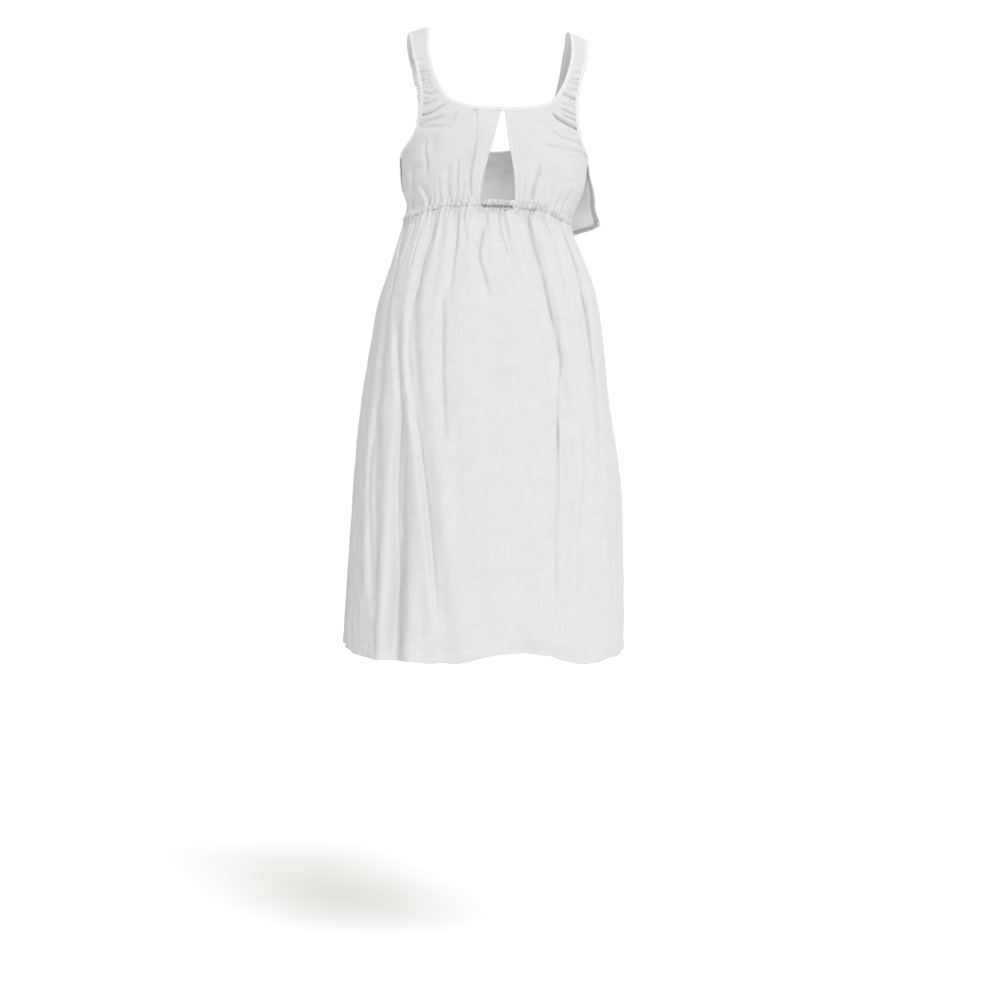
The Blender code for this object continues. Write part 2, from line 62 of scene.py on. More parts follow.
# The worn form, level by level, in metres
FORM_POWER = 2.4
FORM = (
    # height, half_width, back, front, sway
    (0.0300, 0.0750, 0.0500, 0.0450, 0.0000),
    (0.0055, 0.1050, 0.0580, 0.0520, 0.0000),
    (-0.0055, 0.1350, 0.0660, 0.0600, 0.0000),
    (-0.0200, 0.1620, 0.0720, 0.0660, 0.0000),
    (-0.0400, 0.1780, 0.0790, 0.0740, 0.0000),
    (-0.0800, 0.1740, 0.0900, 0.0900, 0.0000),
    (-0.1200, 0.1580, 0.0950, 0.1080, 0.0000),
    (-0.1600, 0.1430, 0.0980, 0.1220, 0.0000),
    (-0.2000, 0.1392, 0.0950, 0.1270, 0.0000),
    (-0.2300, 0.1358, 0.0902, 0.1170, 0.0010),
    (-0.2620, 0.1256, 0.0835, 0.1010, 0.0040),
    (-0.2790, 0.1228, 0.0830, 0.1000, 0.0090),
    (-0.3010, 0.1298, 0.0885, 0.1040, 0.0080),
    (-0.3470, 0.1468, 0.1045, 0.1110, 0.0050),
    (-0.3740, 0.1562, 0.1130, 0.1140, 0.0040),
    (-0.4000, 0.1632, 0.1195, 0.1170, 0.0050),
    (-0.4680, 0.1742, 0.1275, 0.1210, 0.0050),
    (-0.5500, 0.1850, 0.1310, 0.1260, 0.0060),
    (-0.6260, 0.1950, 0.1350, 0.1310, 0.0020),
    (-0.6800, 0.2000, 0.1380, 0.1340, 0.0000),
    (-0.7300, 0.2020, 0.1400, 0.1370, 0.0000),
    (-0.8500, 0.2070, 0.1460, 0.1440, 0.0000),
    (-0.9600, 0.2100, 0.1500, 0.1480, 0.0000),
)
WAIST_TOP, WAIST_LOW = -0.2605, -0.2697  # the waist casing
WAIST_DIP, WAIST_DIP_REACH = 0.014, -0.205  # it lies lower at the side seams
ARMPIT_LEVEL = -0.186
SHOULDER_Y = 0.010
SIDE = math.pi / 2
SEAM_GAP, SEAM_TURN = 0.0003, 0.00125
CLOTH = 0.0007  # one layer of linen
TUCK = 0.0017  # how far a turned-in layer lies behind the outer one
NECK_BINDING_WIDTH = 0.0055
ARM_BINDING_WIDTH = 0.0060
UNDER_BINDING = 0.0016  # the panels run this far in under the bindings

NECKLINE = (
    # x, y, z, from the centre back over the shoulder to the centre front
    (0.0000, 0.095, -0.1250),
    (0.0350, 0.094, -0.1238),
    (0.0600, 0.090, -0.1185),
    (0.0735, 0.087, -0.1125),
    (0.0895, 0.082, -0.0900),
    (0.1000, 0.076, -0.0620),
    (0.1055, 0.069, -0.0360),
    (0.1045, 0.050, -0.0080),
    (0.1035, 0.010, 0.0060),
    (0.1035, -0.040, -0.0120),
    (0.0990, -0.066, -0.0560),
    (0.0850, -0.088, -0.1080),
    (0.0500, -0.108, -0.1440),
    (0.0000, -0.114, -0.1530),
)
ARMHOLE = (
    # x, y, z, from the shoulder down the back, under the arm and up the front
    (0.1345, 0.010, -0.0050),
    (0.1335, 0.050, -0.0180),
    (0.1300, 0.063, -0.0430),
    (0.1222, 0.070, -0.0740),
    (0.1172, 0.073, -0.1020),
    (0.1180, 0.069, -0.1360),
    (0.1262, 0.055, -0.1640),
    (0.1350, 0.030, -0.1780),
    (0.1400, 0.000, -0.1830),
    (0.1350, -0.040, -0.1750),
    (0.1190, -0.080, -0.1420),
    (0.1150, -0.084, -0.0980),
    (0.1250, -0.068, -0.0480),
    (0.1335, -0.046, -0.0180),
)
KEYHOLE = (
    # height, x of the right edge, x of the left edge
    (-0.1250, -0.0062, -0.0020),
    (-0.1740, -0.0132, 0.0096),
    (-0.2230, -0.0226, 0.0214),
    (-0.2610, -0.0258, 0.0264),
)
KEYHOLE_TURN, KEYHOLE_STITCHES = 0.0060, 0.0012  # turned in, and stitched so far from the raw edge
BODICE_CREASES = (
    # in mm: x and height of each point downwards; depth, half width, raised edge (+ towards
    # +X) and its reach
    (((39.0, -122), (36.0, -135), (34.3, -149), (35.2, -175)), 1.8, 1.7, 0.6, 7),
    (
        ((34.8, -170), (36.2, -190), (38.7, -204), (41.1, -218), (40.1, -246), (38.3, -262)),
        3.8, 1.7, 1.0, 8,
    ),
    (((60.1, -200), (60.1, -211), (60.6, -239), (58.5, -262)), 1.8, 2.0, -0.6, 7),
    (((50.2, -232), (50.5, -239), (51.3, -262)), 2.2, 1.6, 0.5, 5),
    (((106.7, -170), (107.8, -191), (104.6, -205), (105.6, -222)), 2.4, 2.6, -1.2, 8),
    (((125.8, -208), (124.6, -242), (120.9, -278)), 2.4, 2.4, 1.0, 6),
    (((112.5, -236), (107.0, -248), (100.5, -260), (98.5, -280)), 2.0, 2.4, 1.8, 6),
    (((74.1, -208), (74.1, -221), (73.1, -262)), 1.4, 3.4, 0.4, 8),
    (((86.5, -228), (84.5, -262)), 1.2, 2.2, -0.4, 6),
    (((25.5, -236), (28.0, -262)), 1.2, 1.6, 0.4, 5),
    (((-59.4, -203), (-60.0, -215), (-56.0, -228), (-52.2, -243), (-49.8, -262)), 3.4, 1.8, -1.2, 8),
    (((-85.2, -200), (-87.4, -217), (-83.8, -236), (-77.3, -262)), 1.9, 3.0, -0.8, 8),
    (((-39.0, -226), (-36.5, -262)), 1.3, 1.8, 0.5, 5),
    (((-68.5, -236), (-66.0, -262)), 1.2, 2.0, 0.4, 5),
    (((-114.2, -232), (-108.8, -251), (-104.8, -266)), 2.0, 2.4, -0.8, 6),
    (((-95.5, -238), (-92.5, -262)), 1.3, 2.0, -0.4, 5),
)
YOKE_CREASES = (
    # in mm: height and x of each point from the armhole inwards; depth, half width, raised
    # edge (+ upwards) and its reach
    (((-150.1, 113.1), (-146.5, 106.1), (-144.2, 96.2), (-139.0, 80.0)), 2.6, 2.2, 1.0, 6),
    (((-136.2, 109.2), (-132.6, 97.9), (-125.7, 85.1), (-120.0, 75.0)), 2.9, 2.0, 1.0, 5),
    (((-120.5, 106.7), (-119.3, 102.4), (-114.0, 92.0)), 3.5, 1.8, 0.8, 4),
    (((-155.1, 74.5), (-146.5, 68.9), (-139.2, 64.8), (-135.0, 62.0)), 1.4, 2.6, 0.5, 6),
    (((-104.5, 109.9), (-106.3, 101.3), (-102.6, 91.0)), 2.6, 1.7, 0.8, 4),
    (((-97.2, 110.0), (-97.5, 105.7), (-96.0, 98.0)), 2.2, 1.5, 0.7, 3),
    (((-91.8, 111.6), (-90.6, 101.0)), 2.2, 1.5, 0.7, 3),
    (((-85.4, 113.2), (-85.7, 102.0)), 2.5, 1.5, 0.8, 3),
    (((-79.4, 114.8), (-79.7, 102.0)), 2.3, 1.5, 0.7, 3),
    (((-73.4, 116.3), (-73.8, 101.5)), 2.5, 1.5, 0.8, 3),
    (((-69.2, 120.7), (-66.0, 110.0)), 2.2, 1.5, 0.7, 3),
    (((-54.9, 122.4), (-55.2, 113.0)), 2.0, 1.5, 0.5, 3),
    (((-113.5, 111.1), (-112.0, 104.0)), 2.3, 1.5, 0.7, 3),
    (((-147.8, -114.8), (-143.9, -101.9), (-137.0, -86.2), (-130.0, -76.0)), 4.1, 2.0, 1.8, 6),
    (((-129.5, -112.4), (-126.4, -102.9), (-123.0, -90.0)), 2.6, 1.8, 1.0, 4),
    (((-118.0, -107.4), (-115.5, -96.5), (-114.0, -90.0)), 2.6, 1.7, 0.8, 4),
    (((-123.3, -115.4), (-120.4, -104.3), (-119.0, -98.0)), 2.0, 1.5, 0.7, 3),
    (((-106.3, -113.2), (-104.3, -105.4), (-99.0, -89.0)), 4.1, 1.8, 1.3, 5),
    (((-137.6, -116.0), (-134.0, -100.0), (-131.5, -92.0)), 2.6, 1.8, 0.8, 4),
    (((-63.9, -120.3), (-66.3, -112.6), (-65.0, -103.0)), 2.3, 1.5, 0.8, 3),
    (((-76.0, -120.4), (-77.7, -105.0), (-77.0, -98.0)), 2.6, 1.5, 0.9, 3),
    (((-83.6, -118.9), (-84.5, -111.2), (-83.0, -101.0)), 2.5, 1.5, 0.8, 3),
    (((-91.4, -115.9), (-93.9, -106.7), (-92.8, -95.0)), 2.9, 1.6, 1.0, 3),
    (((-111.6, -116.6), (-110.8, -111.8), (-107.8, -101.0)), 2.3, 1.5, 0.7, 3),
    (((-168.3, -108.0), (-163.1, -86.9), (-155.0, -74.0)), 1.6, 3.2, 0.7, 7),
    (((-181.1, -100.0), (-180.5, -81.3), (-178.0, -66.0)), 1.3, 3.2, 0.5, 7),
)
BODICE_HOLLOWS = (
    # x, z, half_width, half_height, depth
    (0.1228, -0.2103, 0.008, 0.006, 0.0032),
    (0.1062, -0.2447, 0.004, 0.008, 0.0020),
    (0.0741, -0.2208, 0.006, 0.007, 0.0012),
    (0.0980, -0.1780, 0.006, 0.018, 0.0018),
    (-0.1000, -0.1920, 0.014, 0.005, 0.0014),
    (-0.1050, -0.2260, 0.016, 0.005, 0.0014),
)
SLIT_MIDDLE, SLIT_HALF = math.radians(-1.5), math.radians(9)  # of the slit under the keyhole
BACK_COLUMNS, BACK_ROWS = 126, (80, 50, 32, 46)
EDGE_POINTS = 2400


def flow(knots, values, at):
    """Cubic curve through the values at the knots, which rise, read at the places asked for."""
    knots, values = np.asarray(knots, float), np.asarray(values, float)
    slopes = np.gradient(values, knots, axis=0)
    at = np.clip(at, knots[0], knots[-1])
    low = np.clip(np.searchsorted(knots, at, side="right") - 1, 0, len(knots) - 2)
    step = knots[low + 1] - knots[low]
    t = (at - knots[low]) / step
    if values.ndim > 1:
        step, t = step[..., None], t[..., None]
    rise = values[low + 1] - values[low]
    bend = (3 - 2 * t) * t * t
    swing = t * (1 - t) * step * ((1 - t) * slopes[low] - t * slopes[low + 1])
    return values[low] + rise * bend + swing


def ease(value, start, end):
    """0 before the start, 1 past the end, and a soft step between."""
    t = np.clip((value - start) / (end - start), 0, 1)
    return t * t * (3 - 2 * t)


def trough(distance, width):
    """1 at a fold's bottom, with a low ridge on each side of it."""
    d = distance / width
    return np.exp(-d * d) - 0.32 * np.exp(-((np.abs(d) - 1.9) ** 2))


def rumple(u, v, seed):
    """Smooth uneven ground between about -1 and 1, with bumps one unit across."""
    ground = np.random.default_rng(seed).uniform(-1, 1, (64, 64))
    u, v = np.broadcast_arrays(np.asarray(u, float), np.asarray(v, float))
    iu, iv = np.floor(u).astype(int), np.floor(v).astype(int)
    fu, fv = ease(u - iu, 0, 1), ease(v - iv, 0, 1)
    near = ground[iu % 64, iv % 64] * (1 - fu) + ground[(iu + 1) % 64, iv % 64] * fu
    far = ground[iu % 64, (iv + 1) % 64] * (1 - fu) + ground[(iu + 1) % 64, (iv + 1) % 64] * fu
    return near * (1 - fv) + far * fv


def worn_linen(u, v, seed):
    """The cloth's slight unevenness: soft dents, and crisp little creases between them."""
    soft = rumple(u / 0.045, v / 0.070, seed) + 0.5 * rumple(u / 0.021, v / 0.030, seed + 1)
    crisp = np.abs(rumple(u / 0.014, v / 0.026, seed + 2))
    crisp = crisp + np.abs(rumple(u / 0.027, v / 0.012, seed + 3))
    return 0.0007 * soft - 0.00045 * crisp


def distance_along(line):
    return np.concatenate([[0], np.cumsum(np.linalg.norm(np.diff(line, axis=0), axis=1))])


def evenly(line, count):
    run = distance_along(line)
    at = np.linspace(0, run[-1], count)
    return np.stack([np.interp(at, run, line[:, k]) for k in range(3)], axis=1)


FORM_LEVELS = np.array(FORM)[::-1]


def level(z):
    """Half width, back, front and sway of the form at these heights."""
    rows = flow(FORM_LEVELS[:, 0], FORM_LEVELS[:, 1:], np.asarray(z, float))
    return rows[..., 0], rows[..., 1], rows[..., 2], rows[..., 3]


def form_at(angle, z):
    """The point of the form at this angle round from the centre back, and this height."""
    half, back, front, sway = level(z)
    side, away = np.sin(angle), np.cos(angle)
    depth = np.where(away > 0, back, front)
    x = sway + half * np.sign(side) * np.abs(side) ** (2 / FORM_POWER)
    y = depth * np.sign(away) * np.abs(away) ** (2 / FORM_POWER)
    return np.stack(np.broadcast_arrays(x, y, z), axis=-1)


def angle_of(points):
    half, back, front, sway = level(points[..., 2])
    depth = np.where(points[..., 1] > 0, back, front)
    x = (points[..., 0] - sway) / half
    y = points[..., 1] / depth
    grow = FORM_POWER / 2
    return np.arctan2(np.sign(x) * np.abs(x) ** grow, np.sign(y) * np.abs(y) ** grow)


def beyond(points):
    """Above 0 outside the form and below 0 inside it."""
    half, back, front, sway = level(points[..., 2])
    depth = np.where(points[..., 1] > 0, back, front)
    x = np.abs((points[..., 0] - sway) / half)
    y = np.abs(points[..., 1] / depth)
    return (x**FORM_POWER + y**FORM_POWER) ** (1 / FORM_POWER) - 1


def steepest(points):
    """The outward direction of the form's sections, tipped upwards only on the shoulders."""
    small = 1e-4
    parts = []
    for axis in range(3):
        step = np.zeros(3)
        step[axis] = small
        parts.append((beyond(points + step) - beyond(points - step)) / (2 * small))
    slope = np.stack(parts, axis=-1)
    tip = ease(points[..., 2], -0.075, -0.025)
    return slope, slope * np.stack([np.ones_like(tip), np.ones_like(tip), tip], axis=-1)


def onto_form(points):
    """Moves each point out or in until it lies on the form."""
    points = np.array(points, float)
    for _ in range(12):
        slope, path = steepest(points)
        reach = np.maximum((slope * path).sum(axis=-1), 1e-6)
        points -= path * (beyond(points) / reach)[..., None]
    return points


def outward(points):
    _, path = steepest(points)
    return path / np.linalg.norm(path, axis=-1, keepdims=True)


def lifted(points, distance):
    """The points moved off the form by this distance."""
    return points + outward(points) * np.asarray(distance)[..., None]


def mirrored(points, side):
    return np.asarray(points) * (side, 1, 1)


def closed_line(points, count):
    """Evenly spaced points on the form, round a smooth closed curve."""
    points = np.asarray(points, float)
    wrapped = np.concatenate([points[-3:], points, points[:4]])
    run = distance_along(wrapped)
    dense = flow(run, wrapped, np.linspace(run[3], run[3 + len(points)], 4 * count))
    return onto_form(evenly(dense, count + 1)[:-1])


def inset(line, distance, towards):
    """A closed line on the form moved across it, to the side that the first point's hint gives."""
    along = np.roll(line, -5, axis=0) - np.roll(line, 5, axis=0)
    across = np.cross(outward(line), along)
    across /= np.linalg.norm(across, axis=1, keepdims=True)
    if across[0] @ np.asarray(towards, float) < 0:
        across = -across
    return onto_form(line + across * distance)


def nearest(line, point):
    return int(np.argmin(np.linalg.norm(line - np.asarray(point), axis=1)))


def spaced(stops, counts):
    """Values spaced evenly from each stop to the next, with the last stop at the end."""
    runs = [
        np.linspace(start, end, count, endpoint=False)
        for start, end, count in zip(stops, stops[1:], counts)
    ]
    return np.concatenate(runs + [[stops[-1]]])


def at_places(line, places):
    """Points of a closed line at these places, which may lie between two of its points."""
    low = np.floor(places).astype(int)
    t = (places - low)[:, None]
    count = len(line)
    return line[low % count] * (1 - t) + line[(low + 1) % count] * t


half_neck = np.array(NECKLINE)
whole_neck = np.concatenate([half_neck, mirrored(half_neck, -1)[::-1][1:-1]])
neck_edge = closed_line(whole_neck, EDGE_POINTS)
neck_seam = inset(neck_edge, NECK_BINDING_WIDTH, (0, 0, -1))
neck_cut = inset(neck_edge, NECK_BINDING_WIDTH - UNDER_BINDING, (0, 0, -1))
neck_shoulder = nearest(neck_cut, (0.110, SHOULDER_Y, 0.003))
neck_back_corner = nearest(neck_cut, (0.074, 0.087, -0.118))
neck_front_corner = nearest(neck_cut, (0.085, -0.088, -0.112))

arm_edge = closed_line(ARMHOLE, EDGE_POINTS)
arm_seam = inset(arm_edge, ARM_BINDING_WIDTH, (-1, 0, 0))
arm_cut = inset(arm_edge, ARM_BINDING_WIDTH - UNDER_BINDING, (-1, 0, 0))
arm_back_corner = nearest(arm_cut, (0.112, 0.073, -0.124))
arm_back_low = nearest(arm_cut, (0.121, 0.058, -0.166))
arm_pit = nearest(arm_cut, (0.140, 0.000, -0.189))
arm_front_low = nearest(arm_cut, (0.117, -0.073, -0.162))
arm_front_corner = nearest(arm_cut, (0.110, -0.088, -0.124))


def keyhole_edge(side, z):
    heights, right, left = np.array(KEYHOLE).T
    x = flow(-heights, left if side > 0 else right, -z)
    return onto_form(np.stack([x, level(z)[1], z], axis=1))


def waist_dip(angle):
    """How far the waist lies lower at this angle, most at the side seams."""
    return WAIST_DIP * ease(np.abs(np.sin(angle)), 0.43, 1.06)


def dipped(points):
    """Points of the bodice on the form, moved down along it where the waist lies lower."""
    angle = angle_of(points)
    reach = ease(-points[..., 2], -WAIST_DIP_REACH, -WAIST_TOP)
    moved = form_at(angle, points[..., 2] - waist_dip(angle) * reach)
    return np.where(reach[..., None] > 0, moved, points)


waist_angles = np.linspace(-math.pi, math.pi, 4001)
waist_run = distance_along(form_at(waist_angles, WAIST_TOP + 0 * waist_angles))


def round_waist(angle):
    """An angle as an even share of the way round the waist, from -pi to pi."""
    wrapped = (angle + math.pi) % (2 * math.pi) - math.pi
    return (np.interp(wrapped, waist_angles, waist_run) / waist_run[-1] * 2 - 1) * math.pi


def gather_list(seed, count):
    """Where the waist elastic gathers the cloth: most gathers are small, and a few run far."""
    rng = np.random.default_rng(seed)
    at = -math.pi + 2 * math.pi * (np.arange(count) + rng.uniform(0.1, 0.9, count)) / count
    size = rng.uniform(0, 1, count) ** 2.4
    depth, width = 0.0006 + 0.0024 * size, 0.0011 + 0.0012 * size
    up = 0.005 + 0.026 * size * rng.uniform(0.5, 1, count)
    down = 0.009 + 0.095 * size * rng.uniform(0.4, 1, count)
    return np.stack([at, depth, width, up, down, *rng.uniform(-0.7, 0.7, (2, count))], axis=1)


GATHERS = gather_list(31, 150)
GATHER_RADIUS = 0.125  # turns the gathers' angles into metres round the waist
PUCKER_DEPTH = 0.0040  # of the small folds that the waist elastic crowds together


def gathered(angle, above):
    """Height of the gathers, which run on from the bodice through the casing to the skirt."""
    total = np.zeros(np.broadcast(angle, above).shape)
    angle = round_waist(angle)
    for at, depth, width, up, down, lean_up, lean_down in GATHERS:
        turn = angle - at - np.where(above > 0, lean_up, lean_down) * above
        turn = (turn + math.pi) % (2 * math.pi) - math.pi
        share = np.abs(above) / np.where(above > 0, up, down)
        spread = width * (1 + 1.2 * np.clip(share, 0, 2))
        total -= depth * trough(turn * GATHER_RADIUS, spread) * np.exp(-(share**1.5))
    return total


def casing_puckers(angle):
    """The small crowded puckers of cloth on a waist elastic, between 0 and 1."""
    angle = round_waist(angle)
    drift = 1.3 * np.sin(11 * angle + 0.4) + 1.1 * np.sin(23 * angle + 2.0) + 0.8 * np.sin(37 * angle)
    return np.abs(np.sin(58 * angle + drift)) ** 0.6 * (0.75 + 0.25 * rumple(angle * 22, 5, 57))


def crease(d, deep, width, raised, reach, ends):
    """A sharp fold: a narrow valley, and on one side of it a raised edge that slopes away."""
    side = d * np.sign(raised)
    edge = abs(raised) * ease(side, 0, 1.8 * width) * np.exp(-np.maximum(side - 1.8 * width, 0) / reach)
    return ends * (edge - deep * np.exp(-((d / width) ** 2)))


def armhole_ridges(outer, share, seed):
    """Ridges that the armhole elastic draws: crowded at the edge, fewer and longer across."""
    run = distance_along(outer)[:, None]
    down = -outer[:, 2:]
    drawn = 0.6 * ease(down, 0.030, 0.060) * (1 - ease(down, 0.140, 0.185))
    shift = 0.0016 * rumple(run / 0.012, share * 2.2, seed)
    fine = np.abs(np.sin(math.pi * (run + shift) / 0.0047 + 1.3 * np.sin(run / 0.013))) ** 0.8
    wander = 1.1 * np.sin(run / 0.019 + 1)
    broad = np.abs(np.sin(math.pi * (run + 1.8 * shift) / 0.0098 + wander)) ** 0.8
    edge, middle = ease(share, 0.55, 0.97), ease(share, 0.10, 0.60)
    return drawn * (0.0010 * edge * (fine - 0.6) + 0.0013 * middle * (broad - 0.6) * (1 - 0.4 * edge))


def linear(code):
    """An sRGB hex colour as a linear one."""
    parts = [int(code[k : k + 2], 16) / 255 for k in (1, 3, 5)]
    return [p / 12.92 if p <= 0.04045 else ((p + 0.055) / 1.055) ** 2.4 for p in parts] + [1]


def node(tree, kind, settings=(), links=()):
    """Adds a node with its settings, and links its inputs."""
    made = tree.nodes.new(kind)
    for name, value in dict(settings).items():
        if isinstance(name, str) and name not in made.inputs:
            setattr(made, name, value)
        else:
            made.inputs[name].default_value = value
    for name, source in dict(links).items():
        tree.links.new(source, made.inputs[name])
    return made


WEAVE_MM = 0.9  # from yarn to yarn


def linen(name, colour, shade, across_mm=32, thick_mm=2.8, glow=0.0):
    """Plain-woven undyed-white linen: dry and matt, with a soft bloom at grazing light. Its
    yarn is uneven, so thicker slubs show as short streaks along and across the cloth, drawn a
    little over life size so that they show. A single layer glows where light comes through."""
    made = bpy.data.materials.new(name)
    made.use_nodes = True
    tree = made.node_tree
    surface = tree.nodes["Principled BSDF"]
    where = node(tree, "ShaderNodeTexCoord").outputs["UV"]
    slubs, yarns = [], []
    for wide, high, bands in ((across_mm, thick_mm, "Y"), (thick_mm, across_mm, "X")):
        drawn_out = node(
            tree, "ShaderNodeMapping", {"Scale": (1000 / wide, 1000 / high, 1)},
            {"Vector": where},
        )
        streaks = node(
            tree, "ShaderNodeTexNoise",
            {"Scale": 1, "Detail": 2, "Roughness": 0.6},
            {"Vector": drawn_out.outputs[0]},
        )
        slubs.append(streaks.outputs["Fac"])
        lines = node(
            tree, "ShaderNodeTexWave",
            {"bands_direction": bands, "Scale": 1000 / WEAVE_MM / 6.283, "Distortion": 0.6},
            {"Vector": where},
        )
        yarns.append(lines.outputs["Fac"])
    slubs = node(tree, "ShaderNodeMath", {"operation": "ADD"}, {0: slubs[0], 1: slubs[1]})
    weave = node(tree, "ShaderNodeMath", {"operation": "MAXIMUM"}, {0: yarns[0], 1: yarns[1]})
    cloudy = node(tree, "ShaderNodeTexNoise", {"Scale": 38, "Detail": 2}, {"Vector": where})
    uneven = node(
        tree, "ShaderNodeMath", {"operation": "ADD"},
        {0: slubs.outputs[0], 1: cloudy.outputs["Fac"]},
    )
    tone = node(
        tree, "ShaderNodeMapRange", {"From Min": 0.85, "From Max": 2.15},
        {"Value": uneven.outputs[0]},
    )
    mix = node(
        tree, "ShaderNodeMix", {"data_type": "RGBA", 6: linear(shade), 7: linear(colour)},
        {0: tone.outputs[0]},
    )
    tree.links.new(mix.outputs[2], surface.inputs["Base Color"])
    rough = node(
        tree, "ShaderNodeBump", {"Strength": 0.3, "Distance": 0.0005},
        {"Height": slubs.outputs[0]},
    )
    fine = node(
        tree, "ShaderNodeBump", {"Strength": 0.18, "Distance": 0.0002},
        {"Height": weave.outputs[0], "Normal": rough.outputs[0]},
    )
    tree.links.new(fine.outputs[0], surface.inputs["Normal"])
    surface.inputs["Roughness"].default_value = 0.88
    surface.inputs["Specular IOR Level"].default_value = 0.25
    surface.inputs["Sheen Weight"].default_value = 0.12
    surface.inputs["Sheen Roughness"].default_value = 0.6
    surface.inputs["Subsurface Weight"].default_value = glow
    surface.inputs["Subsurface Radius"].default_value = (1, 1, 1)
    surface.inputs["Subsurface Scale"].default_value = 0.003
    return made


white_linen = linen("white_linen_plain_weave", "#D6D6D6", "#CACAC9")


def made_piece(name, points, faces, material):
    """A smooth object of this mesh and material, in the scene."""
    mesh = bpy.data.meshes.new(name)
    mesh.from_pydata(points.tolist(), [], faces)
    mesh.materials.append(material)
    mesh.shade_smooth()
    piece = bpy.data.objects.new(name, mesh)
    bpy.context.scene.collection.objects.link(piece)
    return piece


def cleaned(mesh, join=0.0, outwards=True):
    """Joins a mesh's points that lie this close together, and turns its faces outwards."""
    work = bmesh.new()
    work.from_mesh(mesh)
    if join:
        bmesh.ops.remove_doubles(work, verts=work.verts, dist=join)
    if outwards:
        bmesh.ops.recalc_face_normals(work, faces=work.faces)
    work.to_mesh(mesh)
    work.free()


def woven(name, sheets, material, thickness=CLOTH, closed=False):
    """A sheet of cloth through grids of points, joined where they meet, with its own thickness
    behind it. Its UV map is in metres of cloth, so that the weave follows the piece."""
    points, quads, flat = [], [], []
    for grid, uv in sheets:
        rows, columns = grid.shape[:2]
        index = np.arange(rows * columns).reshape(rows, columns) + sum(len(p) for p in points)
        here, after = index[:, :-1], index[:, 1:]
        if closed:
            here, after = index, np.roll(index, -1, axis=1)
        faces = np.stack([here[:-1], here[1:], after[1:], after[:-1]], axis=-1).reshape(-1, 4)
        points.append(grid.reshape(-1, 3))
        whole = np.concatenate(points)
        corners = whole[faces]
        across = np.cross(corners[:, 2] - corners[:, 0], corners[:, 3] - corners[:, 1])
        if (across * outward(corners.mean(axis=1))).sum() < 0:
            faces = faces[:, ::-1]
        quads.append(faces)
        flat.append(uv.reshape(-1, 2)[faces.reshape(-1) - index[0, 0]])
    piece = made_piece(name, np.concatenate(points), np.concatenate(quads).tolist(), material)
    layer = piece.data.uv_layers.new(name="cloth")
    layer.data.foreach_set("uv", np.concatenate(flat).astype(np.float32).ravel())
    if len(sheets) > 1:
        cleaned(piece.data, join=1e-6, outwards=False)
    if thickness:
        wall = piece.modifiers.new("thickness", "SOLIDIFY")
        wall.thickness = thickness
        wall.offset = -1
        bpy.ops.object.select_all(action="DESELECT")
        bpy.context.view_layer.objects.active = piece
        piece.select_set(True)
        bpy.ops.object.modifier_apply(modifier=wall.name)
    return piece


def hemmed(grid, uv, turn, edge="last_row"):
    """Turns an edge of a grid under: the cloth folds round and runs back behind itself."""
    if edge != "last_row":
        grid, uv = grid.transpose(1, 0, 2), uv.transpose(1, 0, 2)
    order = -1 if edge == "first_column" else 1
    grid, uv = grid[::order], uv[::order]
    steps = np.linalg.norm(np.diff(grid[::-1], axis=0), axis=2).mean(axis=1)
    back = np.concatenate([[0], np.cumsum(steps)])
    folded, folded_uv = [], []
    for share, behind in ((0, 0.45), (0.06, 0.9), (0.2, 1), (0.45, 1), (0.7, 1), (0.92, 1), (1, 0.8)):
        place = len(grid) - 1 - np.interp(share * turn, back, np.arange(len(back)))
        low = min(int(place), len(grid) - 2)
        t = place - low
        row = grid[low] * (1 - t) + grid[low + 1] * t
        folded.append(lifted(row, np.full(len(row), -TUCK * behind)))
        folded_uv.append(uv[low] * (1 - t) + uv[low + 1] * t)
    grid, uv = np.concatenate([grid, folded])[::order], np.concatenate([uv, folded_uv])[::order]
    if edge != "last_row":
        grid, uv = grid.transpose(1, 0, 2), uv.transpose(1, 0, 2)
    return grid, uv


def even_shares(rows, columns):
    """How far across a panel each point of its grid lies, from 0 to 1."""
    return np.broadcast_to(np.linspace(0, 1, columns + 1), (rows, columns + 1))


def across_panel(inner, outer, shares):
    """A grid on the form whose rows join the two edges."""
    grid = inner[:, None] * (1 - shares[..., None]) + outer[:, None] * shares[..., None]
    return onto_form(grid)


def creased(across, along, creases, open_start=False):
    """Height of the creases along their lines. With open_start they run in from the edge."""
    total = np.zeros(across.shape)
    for path, *sizes in creases:
        at, down = np.array(path).T / 1000
        deep, width, raised, reach = np.array(sizes) / 1000
        if open_start:
            down = np.abs(down)
        share = (down[0] - along) / (down[0] - down[-1])
        ends = (1 if open_start else ease(share, -0.05, 0.2)) * (1 - ease(share, 0.75, 1.1))
        total += crease(across - flow(-down, at, -along), deep, width, raised, reach, ends)
    return total


def hollowed(points, hollows):
    """Depth of the soft hollows in the cloth."""
    total = np.zeros(points.shape[:-1])
    for x, z, half_width, half_height, depth in hollows:
        away = ((points[..., 0] - x) / half_width) ** 2 + ((points[..., 2] - z) / half_height) ** 2
        total += depth * np.exp(-away)
    return total


def outer_side(side, stops, counts, turn, low, swing=0.0):
    """A panel's armhole edge, and its side seam or free edge down to the given height."""
    arm = mirrored(at_places(arm_cut, spaced(stops, counts[:3])), side)
    down = np.linspace(arm[-1, 2], low, counts[-1] + 1)
    swung = turn + swing * ease(down[0] - down, 0, down[0] - low)
    return np.concatenate([arm[:-1], form_at(side * swung, down)])


STITCH_PITCH, STITCH_LENGTH, STITCH_RADIUS = 0.0033, 0.0024, 0.00024


